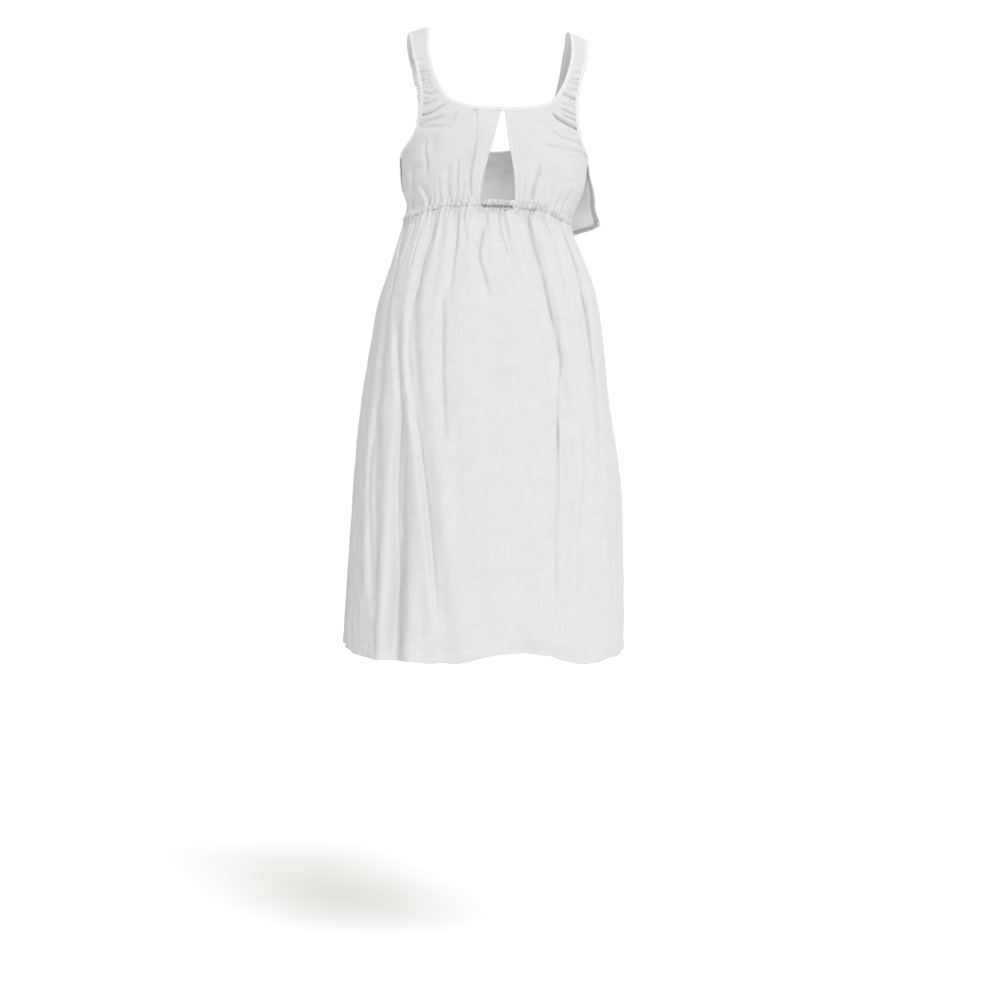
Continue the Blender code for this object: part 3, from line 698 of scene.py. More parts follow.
def stitched(name, line, closed=False):
    """A row of lockstitch: short plump stitches of cotton thread that dip into the cloth."""
    if closed:
        line = np.concatenate([line, line[:1]])
    run = distance_along(line)
    count = int(run[-1] / STITCH_PITCH)
    middles = (np.arange(count) + 0.5) * run[-1] / count
    at = middles[:, None] + np.array([-0.5, -0.22, 0.22, 0.5]) * STITCH_LENGTH
    centre = np.stack([np.interp(at, run, line[:, k]) for k in range(3)], axis=-1)
    away = outward(centre)
    along = np.gradient(centre, axis=1)
    along /= np.linalg.norm(along, axis=-1, keepdims=True)
    across = np.cross(away, along)
    rise = np.array([-0.9, 0.7, 0.7, -0.9])[None, :, None, None] * STITCH_RADIUS
    girth = np.array([0.45, 1, 1, 0.45])[None, :, None, None] * STITCH_RADIUS
    round_it = np.arange(5)[None, None, :, None] * 2 * math.pi / 5
    ring = centre[:, :, None] + away[:, :, None] * (rise + girth * np.sin(round_it))
    ring = ring + across[:, :, None] * girth * np.cos(round_it)
    faces = []
    for k in range(count):
        first = k * 20
        for step in range(3):
            for here in range(5):
                a, b = first + 5 * step + here, first + 5 * step + (here + 1) % 5
                faces.append((a, b, b + 5, a + 5))
        faces.append(tuple(first + 4 - here for here in range(5)))
        faces.append(tuple(first + 15 + here for here in range(5)))
    piece = made_piece(name, ring.reshape(-1, 3), faces, cotton_thread)
    cleaned(piece.data)
    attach(piece, "root")
    return piece


def thread(name, colour):
    """Spun cotton sewing thread: a touch brighter and smoother than the linen round it."""
    made = bpy.data.materials.new(name)
    made.use_nodes = True
    tree = made.node_tree
    surface = tree.nodes["Principled BSDF"]
    where = node(tree, "ShaderNodeTexCoord").outputs["Object"]
    twist = node(tree, "ShaderNodeTexNoise", {"Scale": 2500, "Detail": 1}, {"Vector": where})
    bump = node(
        tree, "ShaderNodeBump", {"Strength": 0.3, "Distance": 0.0001},
        {"Height": twist.outputs["Fac"]},
    )
    tree.links.new(bump.outputs[0], surface.inputs["Normal"])
    surface.inputs["Base Color"].default_value = linear(colour)
    surface.inputs["Roughness"].default_value = 0.7
    return made


cotton_thread = thread("white_spun_cotton", "#F0EFEA")

for side, name, cad in ((1, "back_left", "bodice_back_left"), (-1, "back_right", "bodice_back_right")):
    top = KEYHOLE[0][2 if side > 0 else 1]
    past = nearest(neck_cut, (side * top, 0.095, neck_cut[0, 2]))
    past -= EDGE_POINTS * (past > EDGE_POINTS / 2)
    neck = at_places(neck_cut, side * spaced((neck_shoulder, neck_back_corner, past), BACK_ROWS[:2]))
    low = WAIST_TOP - UNDER_BINDING
    down = spaced((neck[-1, 2], ARMPIT_LEVEL, low), BACK_ROWS[2:])
    inner = np.concatenate([neck, keyhole_edge(side, down[1:])])
    stops = (0, arm_back_corner, arm_back_low, arm_pit)
    outer = outer_side(side, stops, BACK_ROWS, SIDE - SEAM_TURN, low)
    width = np.linalg.norm(outer - inner, axis=1)[:, None]
    shares = even_shares(len(width), BACK_COLUMNS)
    grid = across_panel(inner, outer, shares)
    grid[0, :, 1] = SHOULDER_Y + SEAM_GAP / 2
    grid = dipped(grid)
    height = armhole_ridges(outer, shares, 11 if side > 0 else 12)
    x, z = grid[..., 0], grid[..., 2]
    own = [row for row in YOKE_CREASES if row[0][0][1] * side > 0]
    height = height + creased(z, np.abs(x), own, open_start=True)
    own = [row for row in BODICE_CREASES if row[0][0][0] * side > 0]
    height = height + creased(x, z, own) - hollowed(grid, BODICE_HOLLOWS)
    # Above the waist casing the cloth is gathered, and its edge runs in under the casing
    angle = angle_of(grid)
    far = z + waist_dip(angle) - WAIST_TOP
    height = height + gathered(angle, np.maximum(far, 0) + 1e-6)
    height = height + 0.0004 * np.exp(-np.maximum(far, 0) / 0.004)
    puckered = PUCKER_DEPTH * (casing_puckers(angle) - 0.5)
    height = height + puckered * np.exp(-np.maximum(far, 0) / 0.0055)
    height = height - 0.0012 * (1 - ease(far, -0.0016, 0.0002))
    from_inner = shares * width
    u = side * (0.010 + from_inner)
    height = height + worn_linen(u + 0.5, -z, 5) * ease(-z, 0.0, 0.03)
    # At the neck binding it lies flat, and at the keyhole it is turned in and stitched
    at_neck = np.arange(len(width))[:, None] < len(neck)
    height = np.where(at_neck, height * ease(from_inner, -0.001, 0.006), height)
    from_stitches = from_inner - KEYHOLE_TURN + KEYHOLE_STITCHES
    turned = 0.0005 * (1 - ease(from_stitches, 0, KEYHOLE_STITCHES))
    turned = turned - 0.0005 * np.exp(-((from_stitches / 0.0009) ** 2))
    height = height + np.where(at_neck, 0, 1) * turned
    height = height * (1 - 0.75 * ease(shares, 0.97, 1.0))
    grid = lifted(grid, height)
    uv = np.stack([u, -grid[..., 2]], axis=-1)
    places = (KEYHOLE_TURN - KEYHOLE_STITCHES) / width[:, 0] * BACK_COLUMNS
    rows = np.arange(len(neck) + 3, len(width) - 2)
    column = np.round(places[rows]).astype(int)
    keyhole_line = grid[rows, column]
    piece = woven(name, [hemmed(grid, uv, KEYHOLE_TURN, "first_column")], white_linen)
    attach(piece, "root")
    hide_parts(cad)
    seam = stitched("keyhole_stitches_" + ("left" if side > 0 else "right"), keyhole_line)


# Bodice front
# One cut piece of the same linen with its two straps, sewn to the back at the shoulders and
# sides. It is hidden behind the loose layer, so it is plain, gathered only at the waist.

FRONT_COLUMNS, FRONT_ROWS = 50, (60, 44, 24, 34)


def front_halves(low, side_low, swings):
    """The two halves of a front, each from its inner edge to its armhole and side."""
    for side in (1, -1):
        stops = (neck_shoulder, neck_front_corner, EDGE_POINTS // 2)
        neck = at_places(neck_cut, side * spaced(stops, FRONT_ROWS[:2]))
        down = spaced((neck[-1, 2], ARMPIT_LEVEL, low), FRONT_ROWS[2:])
        middle = form_at(np.full_like(down, math.pi), down)
        middle[:, 0] = 0
        inner = np.concatenate([neck, middle[1:]])
        inner[len(neck) - 1] = middle[0]
        stops = (EDGE_POINTS, arm_front_corner, arm_front_low, arm_pit)
        outer = outer_side(side, stops, FRONT_ROWS, SIDE + SEAM_TURN, side_low, swings[side])
        width = np.linalg.norm(outer - inner, axis=1)[:, None]
        shares = even_shares(len(width), FRONT_COLUMNS)
        grid = across_panel(inner, outer, shares)
        grid[0, :, 1] = SHOULDER_Y - SEAM_GAP / 2
        height = armhole_ridges(outer, shares, 13)
        height = height + worn_linen(grid[..., 0] + 2, -grid[..., 2], 7) * ease(-grid[..., 2], 0, 0.03)
        at_neck = np.arange(len(width))[:, None] < len(neck)
        height = np.where(at_neck, height * ease(shares * width, -0.001, 0.006), height)
        height = height * (1 - 0.75 * ease(shares, 0.97, 1.0))
        uv = np.stack([side * shares * width, -grid[..., 2]], axis=-1)
        yield side, grid, height, uv


halves = []
low = WAIST_TOP - UNDER_BINDING
for side, grid, height, uv in front_halves(low, low, {1: 0.0, -1: 0.0}):
    grid = dipped(grid)
    angle = angle_of(grid)
    far = grid[..., 2] + waist_dip(angle) - WAIST_TOP
    height = height + gathered(angle, np.maximum(far, 0) + 1e-6) - 0.0004
    halves.append((lifted(grid, height), uv))
piece = woven("front", halves, white_linen)
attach(piece, "root")
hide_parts("bodice_front")


# Loose front layer
# A second linen front over the bodice, sewn in at the neckline, shoulders and armholes. It
# hangs free at its sides and hem, both narrowly turned in, and stands off at the right side.

LAYER_STAND_OFF = (
    # height, distance
    (-0.170, 0.0000),
    (-0.182, 0.0006),
    (-0.194, 0.0016),
    (-0.208, 0.0065),
    (-0.230, 0.0180),
    (-0.250, 0.0325),
    (-0.274, 0.0590),
    (-0.300, 0.0700),
)
LAYER_HEM_FRONT, LAYER_HEM_SIDE = -0.290, -0.2735
LAYER_STEP = 0.0021  # outside the bodice front
LAYER_SWINGS = {1: math.radians(24), -1: math.radians(15)}  # how far its free edges lie forward
LAYER_SHARE_FRONT, LAYER_SHARE_LEFT = 0.62, 0.02  # of the stand-off at the right side
LAYER_TURN = 0.007

halves = []
for side, grid, height, uv in front_halves(LAYER_HEM_FRONT, LAYER_HEM_SIDE, LAYER_SWINGS):
    # Its hem curves up from the centre front to the sides
    shares = np.linspace(0, 1, FRONT_COLUMNS + 1)[None]
    curve = (LAYER_HEM_SIDE - LAYER_HEM_FRONT) * (shares**2 - shares)
    grid[..., 2] += curve * ease(-grid[..., 2], 0.20, 0.29)
    grid = onto_form(grid)
    heights, distances = np.array(LAYER_STAND_OFF).T
    away = flow(-heights, distances, -grid[..., 2])
    across = np.clip(grid[..., 0] / level(grid[..., 2])[0], -1, 1)
    share = flow([-1, 0, 1], [1.0, LAYER_SHARE_FRONT, LAYER_SHARE_LEFT], across)
    wave = ease(-grid[..., 2], 0.190, 0.2735) * share
    angle = angle_of(grid)
    wave = wave * (0.004 * np.sin(7 * angle + 0.6) + 0.0012 * np.sin(19 * angle + 1.0))
    grid = lifted(grid, height + LAYER_STEP + away * share + wave)
    grid, uv = hemmed(grid, uv, LAYER_TURN, "last_column")
    halves.append(hemmed(grid, uv, LAYER_TURN))
# Painted light: the same linen as the bodice, its colour painted lighter for the light that shines
# through this free-hanging single layer
linen_painted_lit_through = linen("white_linen_single_layer_painted_lighter", "#DFDFDF", "#D5D5D4", glow=1.0)
piece = woven("loose_front_layer", halves, linen_painted_lit_through)
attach(piece, "root")
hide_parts("front_layer")


# Neck binding
# A folded strip of the same linen over the raw neckline, topstitched near its lower edge. It
# runs on over the top of the keyhole, where its ends overlap.

BINDING_PROUD, BINDING_WALL = 0.0004, 0.0022


def bound(name, edge, seam, puckers, cad, material, lap=0.0):
    """A folded strip round an edge: a soft flat tube between the edge and the binding's seam."""
    away = outward(edge)
    middle, half = (edge + seam) / 2, (seam - edge) / 2
    turn = np.arange(16) * 2 * math.pi / 16
    flat = np.sign(np.cos(turn)) * np.abs(np.cos(turn)) ** 0.8
    thick = np.sign(np.sin(turn)) * np.abs(np.sin(turn)) ** 0.8
    swell = 1 + puckers
    grid = middle[None] + half[None] * (flat[:, None, None] * (1 + 0.25 * puckers[None, :, None]))
    off = thick[:, None] * BINDING_WALL / 2 * swell[None] + BINDING_PROUD - BINDING_WALL / 2
    off = off - 0.00030 * np.exp(-(((flat - 0.55) / 0.14) ** 2))[:, None] * (thick > 0)[:, None]
    off = off + lap * (thick > 0)[:, None]
    grid = grid + away[None] * off[..., None]
    u = np.broadcast_to(distance_along(edge), off.shape)
    v = np.broadcast_to(turn[:, None] * 0.0012, off.shape)
    uv = np.stack([u, v], axis=-1)
    line = grid[2] * 0.5 + grid[3] * 0.5
    grid, uv = np.concatenate([grid, grid[:1]]), np.concatenate([uv, uv[:1]])
    piece = woven(name, [(grid, uv)], material, thickness=0, closed=True)
    cleaned(piece.data, join=1e-7)
    piece.data.shade_smooth()
    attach(piece, "root")
    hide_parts(cad)
    stitched(name + "_stitches", line, closed=True)
    return piece


binding_linen = linen("white_linen_bias_strip", "#DEDEDE", "#D4D4D3", 9, 1.1)
places = np.linspace(0, EDGE_POINTS, 760, endpoint=False)
edge, seam = at_places(neck_edge, places), at_places(neck_seam, places)
run = distance_along(edge)
puckers = 0.13 * rumple(run / 0.007, 0, 41) + 0.06 * rumple(run / 0.0035, 3, 42)
# Above the keyhole one end of the strip lies over the other
x = -edge[:, 0]
lap = 0.0010 * ease(x, -0.0042, -0.0030) * (1 - ease(x, 0.0075, 0.0085)) * (edge[:, 1] > 0)
bound("neck_binding_strip", edge, seam, puckers, "neck_binding", binding_linen, lap)


# Armhole bindings
# The same folded strips round the armholes, with a narrow elastic inside that crowds them
# into small puckers from the yoke down to the armpit.

places = np.linspace(0, EDGE_POINTS, 560, endpoint=False)
for side, name in ((1, "armhole_binding_left"), (-1, "armhole_binding_right")):
    edge = mirrored(at_places(arm_edge, places), side)
    seam = mirrored(at_places(arm_seam, places), side)
    run = distance_along(edge)
    drawn = 0.25 + 0.75 * ease(-edge[:, 2], 0.030, 0.060) * (1 - 0.6 * ease(-edge[:, 2], 0.150, 0.180))
    crowd = np.abs(np.sin(math.pi * run / 0.0047 + 1.3 * np.sin(run / 0.013))) ** 0.8 - 0.6
    puckers = drawn * (0.60 * crowd + 0.25 * rumple(run / 0.004, 2, 44 + side))
    across = edge - seam
    across /= np.linalg.norm(across, axis=1, keepdims=True)
    scallop = drawn * (0.0014 * crowd + 0.0012 * rumple(run / 0.007, 5, 47 + side))
    bound(name + "_strip", edge + across * scallop[:, None], seam, puckers, name, binding_linen)


# Waist casing
# A tunnel of linen round a flat elastic, which joins bodice and skirt. The elastic crowds it
# into small sharp puckers with ruffled edges, held by a row of stitches at each edge.

CASING_COLUMNS, CASING_ROWS = 1100, 12
CASING_RISE = 0.0022  # its ruffled top edge stands over the bodice
CLOTH_RADIUS = 0.19  # turns an angle into metres of the gathered cloth
angles = np.linspace(-math.pi, math.pi, CASING_COLUMNS, endpoint=False)[None]
angles = np.interp(angles, round_waist(waist_angles[:-1]), waist_angles[:-1])
down = np.linspace(0, 1, CASING_ROWS + 1)[:, None]
pucker = casing_puckers(angles + 0.010 * np.sin(7 * down))
bulge = 1 - np.abs(2 * down - 1) ** 3.5
held = np.exp(-(((down - 0.17) / 0.06) ** 2)) + np.exp(-(((down - 0.83) / 0.06) ** 2))
dip = waist_dip(angles)
top = WAIST_TOP + CASING_RISE - dip
top = top + 0.0012 * rumple(angles * 34, 0, 51) + 0.0022 * (pucker - 0.5)
low = WAIST_LOW - dip + 0.0005 * rumple(angles * 40, 9, 52) - 0.0009 * (pucker - 0.5)
low = low + 0.0038 * (1 - ease(np.abs(angles - SLIT_MIDDLE), 0.8 * SLIT_HALF, SLIT_HALF))
z = top + (low - top) * down
grid = form_at(angles + 0 * z, z)
height = -0.0010 + 0.0024 * bulge + PUCKER_DEPTH * (pucker - 0.5) - 0.0010 * held
height = height + gathered(angles, (down < 2) * 1e-6) + 0.0004 * rumple(angles * 30, down * 4, 53)
grid = lifted(grid, height)
uv = np.stack(np.broadcast_arrays(angles * CLOTH_RADIUS, -z), axis=-1)
piece = woven("elastic_casing", [(grid, uv)], white_linen, thickness=0.0014, closed=True)
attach(piece, "root")
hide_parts("waist_casing")
rows = [
    stitched("waist_stitches_" + name, grid[row], closed=True)
    for name, row in (("upper", 2), ("lower", 10))
]


# Skirt
# Two wide panels of linen with side seams, gathered on their top edge under the casing and
# again along a stitched line below it. The hem is turned up and stitched.

SLIT_DROP = 0.0014  # the skirt's top sags below the casing behind the keyhole
HEADING_DROP = 0.0093  # the second gathering line lies this far below the casing
HEADING_PUCKERS = 0.0044  # how deep its puckers are
HEM_TURN, HEM_STITCHES = 0.016, 0.015
SKIRT_COLUMNS = 360
TURNED_IN = (
    # the edge that stands up behind the slit: its height, its least height and how far behind
    (0.0095, 0.0006, 0.0062),
    (0.0060, 0.0004, 0.0058),
    (0.0015, 0.0002, 0.0040),
)
SKIRT_FOLDS = (
    # name; degrees and height in metres at four places; depth at the top and low down, width
    ("hem_left", 50, -0.430, 42, -0.527, 39, -0.660, 38, -0.980, 0.002, 0.015, 0.013),
    ("long_left", 38, -0.270, 40, -0.400, 30, -0.570, 14, -0.900, 0.005, 0.004, 0.009),
    ("inner_left", 20, -0.270, 19, -0.380, 20, -0.425, 16, -0.580, 0.003, 0.002, 0.008),
    ("keyhole_left", 2, -0.275, 6, -0.330, 5, -0.362, 0, -0.420, 0.003, 0.001, 0.006),
    ("keyhole_right", -3, -0.270, -3, -0.305, -4, -0.325, -7, -0.370, 0.002, 0.001, 0.006),
    ("long_right", -22, -0.270, -22, -0.350, -30, -0.495, -23, -0.900, 0.005, 0.003, 0.008),
    ("hip_right", -59, -0.290, -55, -0.385, -56, -0.500, -50, -0.660, 0.006, 0.002, 0.009),
    ("side_right", -78, -0.290, -77, -0.420, -76, -0.560, -72, -0.900, 0.002, 0.005, 0.014),
    ("side_left", 74, -0.290, 66, -0.390, 58, -0.600, 50, -0.860, 0.002, 0.003, 0.011),
    ("side_seam_left", 94, -0.290, 93, -0.420, 90, -0.600, 84, -0.980, 0.002, 0.006, 0.014),
    ("front_side_left", 118, -0.290, 120, -0.440, 122, -0.600, 126, -0.980, 0.003, 0.008, 0.015),
    ("front_left", 150, -0.270, 152, -0.400, 152, -0.560, 148, -0.980, 0.004, 0.006, 0.013),
    ("front_middle", 178, -0.270, 179, -0.380, 181, -0.480, 186, -0.800, 0.003, 0.003, 0.011),
    ("front_right", -148, -0.270, -150, -0.400, -150, -0.560, -145, -0.980, 0.004, 0.007, 0.013),
    ("front_side_right", -118, -0.290, -120, -0.440, -120, -0.600, -116, -0.980, 0.003, 0.007, 0.015),
)
SKIRT_CREASES = (
    # degrees and height in mm of each point downwards; in mm the depth, half width, raised
    # edge (+ towards +X) and its reach
    (((-22.5, -268), (-22.2, -335), (-25.7, -417), (-29.5, -475)), 3.6, 1.8, 1.6, 9),
    (((-28.5, -440), (-30.4, -492), (-26.7, -565), (-24.0, -640)), 3.6, 2.0, 3.0, 10),
    (((-26.4, -565), (-24.4, -623), (-23.1, -695), (-22.6, -770), (-24.5, -860)), 2.8, 2.2, 2.0, 10),
    (((2.4, -268), (2.6, -288), (5.0, -317), (6.1, -341), (2.9, -383), (0.9, -408)), 3.0, 1.7, -1.6, 9),
    (((-3.1, -268), (-2.9, -304), (-4.1, -323), (-5.6, -350)), 2.4, 1.6, -0.6, 6),
    (((20.0, -268), (19.1, -320), (19.5, -358), (18.7, -410)), 2.2, 2.2, -1.0, 7),
    (((22.5, -385), (22.4, -425), (20.9, -483), (18.6, -555), (17.0, -625)), 2.6, 4.2, -2.2, 12),
    (((37.9, -268), (38.3, -317), (40.8, -353), (38.9, -400)), 2.6, 2.6, -0.8, 7),
    (((41.5, -375), (41.9, -428), (40.3, -483), (36.2, -527), (32.6, -570)), 3.2, 5.0, 1.4, 9),
    (((34.2, -550), (29.5, -613), (24.9, -699), (21.8, -770), (17.7, -880)), 4.6, 3.6, 5.0, 8),
    (((51.7, -440), (48.0, -490), (44.3, -527), (40.8, -585), (41.5, -642)), 3.0, 5.5, 1.6, 8),
    (((41.1, -600), (41.5, -642), (41.0, -729), (39.3, -815), (40.5, -930)), 4.2, 5.0, 3.2, 9),
    (((59.7, -560), (61.6, -628), (56.0, -788), (52.2, -860)), 2.6, 7.0, 0.6, 10),
    (
        ((-59.5, -285), (-56.3, -348), (-54.3, -386), (-56.2, -418), (-55.9, -459), (-56.6, -500)),
        3.8, 2.0, -2.0, 7,
    ),
    (((-56.2, -480), (-57.1, -547), (-54.5, -580), (-52.4, -625)), 2.6, 2.4, -1.2, 7),
    (((-43.7, -395), (-47.5, -446), (-50.1, -526), (-48.4, -590)), 2.0, 3.0, 0.8, 7),
    (((-35.8, -274), (-38.4, -329), (-36.9, -367), (-36.9, -415)), 2.4, 2.2, 0.6, 7),
    (((72.0, -286), (76.7, -315), (69.1, -350), (64.4, -393), (61.6, -445)), 3.0, 2.6, 0.8, 7),
    (((57.8, -274), (59.8, -315), (62.5, -358)), 2.4, 2.2, 0.6, 6),
    (((47.6, -272), (49.3, -319), (49.7, -362)), 2.4, 2.2, 0.6, 6),
    (((29.5, -268), (30.5, -300), (31.0, -345)), 1.6, 2.0, 0.4, 6),
    (((11.5, -268), (12.0, -290), (13.0, -330)), 1.5, 1.8, 0.4, 6),
    (((-12.5, -268), (-12.8, -300), (-14.0, -352)), 1.6, 2.0, -0.4, 6),
    (((-48.5, -276), (-47.5, -312), (-46.0, -352)), 1.8, 2.0, -0.4, 6),
    (((-70.5, -284), (-70.0, -320), (-68.0, -372)), 2.0, 2.4, -0.6, 6),
    (((-43.8, -580), (-42.0, -621), (-38.0, -694), (-35.9, -752), (-38.6, -850)), 2.8, 8.0, 0.8, 12),
    (((12.0, -570), (11.6, -726), (10.4, -820)), 1.3, 8.0, 0.3, 12),
    (((132.0, -272), (133.0, -340), (136.0, -470)), 3.5, 2.4, 1.2, 7),
    (((121.0, -276), (122.0, -330), (120.0, -420)), 2.4, 2.4, 0.8, 7),
    (((168.0, -270), (167.0, -340), (164.0, -460)), 3.2, 2.2, -1.2, 7),
    (((-166.0, -270), (-166.0, -330), (-169.0, -440)), 3.2, 2.2, 1.2, 7),
    (((-131.0, -272), (-133.0, -350), (-136.0, -500)), 3.5, 2.4, -1.2, 7),
    (((-108.0, -282), (-108.0, -350), (-104.0, -480)), 3.0, 2.6, -0.9, 7),
    (((104.0, -284), (105.0, -350), (102.0, -470)), 3.0, 2.6, 0.9, 7),
    (((158.0, -560), (156.0, -690), (158.0, -860)), 3.2, 5.0, 1.8, 9),
    (((-157.0, -540), (-154.0, -680), (-157.0, -870)), 3.2, 5.0, -1.8, 9),
)
HEM = (
    # degrees, height in metres
    (-180, -0.9300),
    (-135, -0.9240),
    (-90, -0.9110),
    (-60, -0.9215),
    (-34, -0.9290),
    (-19, -0.9190),
    (-4, -0.9155),
    (7, -0.9285),
    (30, -0.9295),
    (60, -0.9265),
    (90, -0.9140),
    (135, -0.9240),
    (180, -0.9300),
)


def turned_from(angle, at):
    """How far an angle is turned from another, from -pi to pi."""
    return (angle - at + math.pi) % (2 * math.pi) - math.pi


def folded(angle, z, radius):
    """Trough depths of the skirt's long folds."""
    total = np.zeros(np.broadcast(angle, z).shape)
    for _, a0, z0, a1, z1, a2, z2, a3, z3, top_depth, low_depth, width in SKIRT_FOLDS:
        at = np.radians(flow([-z0, -z1, -z2, -z3], [a0, a1, a2, a3], -z))
        along = (z0 - z) / (z0 - z3)
        depth = top_depth + (low_depth - top_depth) * ease(along, 0.1, 0.9)
        ends = ease(along, -0.05, 0.08) * (1 - ease(along, 0.85, 1.15))
        total += depth * ends * trough(turned_from(angle, at) * radius, width)
    return total


def skirt_creases(z):
    """Each crease's angle at these heights, how its ends fade, and its sizes in metres."""
    for path, *sizes in SKIRT_CREASES:
        at, down = np.array(path).T
        down = down / 1000
        share = (down[0] - z) / (down[0] - down[-1])
        ends = ease(share, -0.04, 0.14) * (1 - ease(share, 0.78, 1.06))
        yield np.radians(flow(-down, at, -z)), ends, np.array(sizes) / 1000


def crowded(z, first, last, count):
    """Angles of a row's columns, which lie closer together at the creases."""
    dense = np.linspace(first, last, 1600)
    weight = np.gradient(distance_along(form_at(dense, z + 0 * dense)))
    weight = 0.8 * weight / weight.mean() + 0.2
    for at, ends, _ in skirt_creases(np.array(z)):
        weight += 2.0 * ends * np.exp(-((turned_from(dense, at) / 0.04) ** 2))
    total = np.cumsum(weight) - weight[0]
    return np.interp(np.linspace(0, 1, count + 1), total / total[-1], dense)


# How far down the skirt its rows lie: close together at the gathers and at the hem
from_top = np.concatenate([np.arange(0, 0.030, 0.0015), np.arange(0.030, 0.090, 0.003)])
from_hem = np.concatenate([np.arange(20) * 0.0012, np.arange(0.024, 0.036, 0.003)])[::-1]

hem_angles, hem_heights = np.array(HEM).T

for middle, name in ((0, "skirt_back"), (math.pi, "skirt_front")):
    reach = SIDE + 0.002  # the edges dip in and meet at the side seams
    middle_rows = np.linspace(0, 1, 62)[1:-1]
    typical = np.concatenate([
        -0.272 - from_top,
        np.interp(middle_rows, [0, 1], [-0.362, -0.888]),
        -0.924 + from_hem,
    ])
    angle = np.array([crowded(z, middle - reach, middle + reach, SKIRT_COLUMNS) for z in typical])
    turn = np.degrees(turned_from(angle, 0))
    from_seam = np.abs(np.abs(turned_from(angle, middle)) - SIDE)
    off_seam = ease(from_seam, 0.01, 0.12)
    hem = flow(hem_angles, hem_heights, turn) + 0.0014 * off_seam * rumple(angle * 11, 0, 63)
    in_slit = 1 - ease(np.abs(turned_from(angle, SLIT_MIDDLE)), 0.8 * SLIT_HALF, SLIT_HALF)
    puckered = casing_puckers(angle)
    ruffled = (0.0012 * rumple(angle * 70, 0, 61) + 0.0012 * (puckered - 0.5)) * in_slit
    under = 0.0018 * (1 - in_slit)
    top = WAIST_LOW - SEAM_GAP + under - SLIT_DROP * in_slit + ruffled - waist_dip(angle)
    upper, lower = len(from_top), len(from_top) + len(middle_rows)
    start, end = top[upper:lower] - from_top[-1], hem[upper:lower] + from_hem[0]
    z = np.concatenate([
        top[:upper] - from_top[:, None],
        start + (end - start) * middle_rows[:, None],
        hem[lower:] + from_hem[:, None],
    ])
    rise, least, back = np.array(TURNED_IN).T[..., None]
    z = np.concatenate([z[:1] + rise * in_slit[:1] + least, z])
    angle = np.concatenate([angle[:1], angle[:1], angle[:1], angle])
    in_slit, from_seam, off_seam, hem = [
        np.concatenate([rows[:3], rows]) for rows in (in_slit, from_seam, off_seam, hem)
    ]
    tucked = np.zeros_like(z)
    tucked[:3] = back * in_slit[:3]
    grid = form_at(angle, z)
    radius = np.linalg.norm(grid[..., :2], axis=-1)
    height = -folded(angle, z, radius) - tucked
    for at, ends, (deep, width, raised, far) in skirt_creases(z):
        height = height + crease(turned_from(angle, at) * radius, deep, width, raised, far, ends)
    below = WAIST_LOW - waist_dip(angle) - z
    height = height + gathered(angle, -np.maximum(below, 0) - 1e-6) + 0.0004
    height = height - 0.0014 * (1 - ease(below, -0.0018, 0.0002)) * (1 - in_slit)
    heading = 1 - ease(below, 0.005, 0.019)
    drifted = casing_puckers(angle + 0.0016 * np.sin(below / 0.002))
    uneven = 0.7 + 0.3 * rumple(angle * 25, below / 0.006, 58)
    height = height + HEADING_PUCKERS * (drifted - 0.5) * heading * uneven
    height = height - 0.0010 * np.exp(-(((below - HEADING_DROP) / 0.0011) ** 2))
    u = angle * CLOTH_RADIUS
    turn_here = np.degrees(turned_from(angle, 0))
    # The cloth is most crumpled low on the left of the back
    crumpled = ease(-z, 0.40, 0.62) * ease(turn_here, 8, 26) * (1 - ease(turn_here, 70, 100))
    worn = (1.3 + 1.1 * crumpled) * worn_linen(u + 3, -z, 8)
    height = height + worn * ease(below, 0.0, 0.05) * off_seam
    height = height - 0.0016 * np.exp(-((from_seam * radius / 0.0014) ** 2))
    up = z - hem
    hem_puckers = 0.0007 * rumple(u / 0.009, up / 0.014, 62)
    hem_puckers = hem_puckers * (1 - ease(up, HEM_TURN, HEM_TURN + 0.012))
    # Right of the middle of the back the hem bends in
    bent_in = ease(turn_here, -42, -30) * (1 - ease(turn_here, -10, 0))
    hem_puckers = hem_puckers - 0.0060 * bent_in * (1 - ease(up, 0.002, 0.026)) ** 1.5
    height = height + hem_puckers + 0.0003 * (1 - ease(up, HEM_TURN - 0.002, HEM_TURN))
    height = height - 0.0004 * np.exp(-(((up - HEM_STITCHES) / 0.0009) ** 2))
    grid = lifted(grid, height)
    uv = np.stack(np.broadcast_arrays(u, -z), axis=-1)
    hem_row = len(z) - len(from_hem) + int(np.argmin(np.abs(from_hem - HEM_STITCHES)))
    heading_row = 3 + int(np.argmin(np.abs(from_top - HEADING_DROP - 0.0015)))
    rows = [
        stitched(name + "_hem_stitches", grid[hem_row]),
        stitched(name + "_heading_stitches", grid[heading_row]),
    ]
    piece = woven(name + "_panel", [hemmed(grid, uv, HEM_TURN)], white_linen)
    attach(piece, "root")
    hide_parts(name)


# Floor, light and camera
# A plain pale studio floor and a soft even light, from above and from behind the camera.

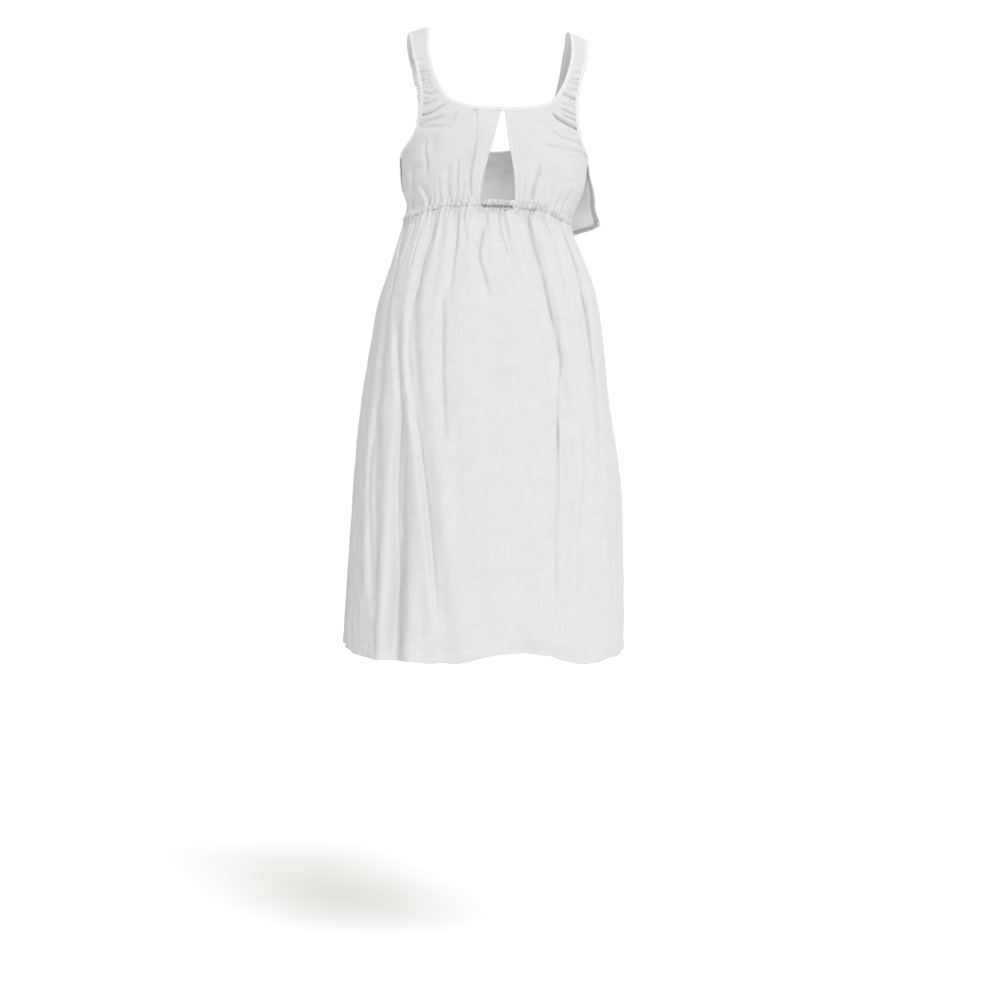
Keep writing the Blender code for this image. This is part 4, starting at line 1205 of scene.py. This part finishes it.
FLOOR_LEVEL = -1.42
bpy.ops.object.select_all(action="DESELECT")
bpy.ops.mesh.primitive_plane_add(size=60, location=(0, 0, FLOOR_LEVEL))
floor = bpy.context.object
floor.name = "studio_floor"
paint = bpy.data.materials.new("pale_matt_floor_paint")
paint.use_nodes = True
paint.node_tree.nodes["Principled BSDF"].inputs["Base Color"].default_value = linear("#FEFEFE")
paint.node_tree.nodes["Principled BSDF"].inputs["Roughness"].default_value = 0.9
floor.data.materials.append(paint)
floor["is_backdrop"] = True

bpy.context.scene.view_settings.view_transform = "Standard"
world = bpy.data.worlds.new("pale_studio")
world.use_nodes = True
sky = world.node_tree.nodes["Background"]
sky.inputs["Color"].default_value = (1, 1, 1, 1)
sight = node(world.node_tree, "ShaderNodeLightPath").outputs["Is Camera Ray"]
even = node(world.node_tree, "ShaderNodeMapRange", {"To Min": 0.55, "To Max": 1.0}, {"Value": sight})
warm = node(
    world.node_tree, "ShaderNodeMix",
    {"data_type": "RGBA", 6: (1, 0.998, 0.955, 1), 7: (1, 1, 1, 1)},
    {0: sight},
)
world.node_tree.links.new(warm.outputs[2], sky.inputs["Color"])
world.node_tree.links.new(even.outputs[0], sky.inputs["Strength"])
bpy.context.scene.world = world


def soft_light(name, azimuth, elevation, strength, spread, tint=(1, 1, 1)):
    """A broad soft light from far off; azimuth 0 shines from the side of the front."""
    lamp = bpy.data.lights.new(name, "SUN")
    lamp.energy = strength
    lamp.angle = math.radians(spread)
    lamp.color = tint
    made = bpy.data.objects.new(name, lamp)
    made.rotation_euler = (math.radians(90 - elevation), 0, math.radians(azimuth))
    bpy.context.scene.collection.objects.link(made)


# The key light stands to the right of the camera and above it
soft_light("key_light", 180 + 17, 42, 1.86, 24, (0.985, 0.99, 1.04))
soft_light("front_light", -20, 50, 0.9, 60)

VIEW_TURN, VIEW_ROLL = math.radians(4.2), math.radians(1.25)
VIEW_DISTANCE, VIEW_HEIGHT = 3.0, -0.696
forward = (-math.sin(VIEW_TURN), -math.cos(VIEW_TURN), 0)
right = (-math.cos(VIEW_TURN), math.sin(VIEW_TURN), 0)
lens = bpy.data.cameras.new("camera")
lens.lens, lens.sensor_width = 72, 36
lens.shift_x, lens.shift_y = 0.013 * math.cos(VIEW_ROLL), -0.013 * math.sin(VIEW_ROLL)
camera = bpy.data.objects.new("camera", lens)
facing = Matrix((right, (0, 0, 1), [-part for part in forward])).transposed().to_4x4()
facing = facing @ Matrix.Rotation(VIEW_ROLL, 4, "Z")
facing.translation = [-VIEW_DISTANCE * part for part in forward[:2]] + [VIEW_HEIGHT]
camera.matrix_world = facing
bpy.context.scene.collection.objects.link(camera)
bpy.context.scene.camera = camera

low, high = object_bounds()
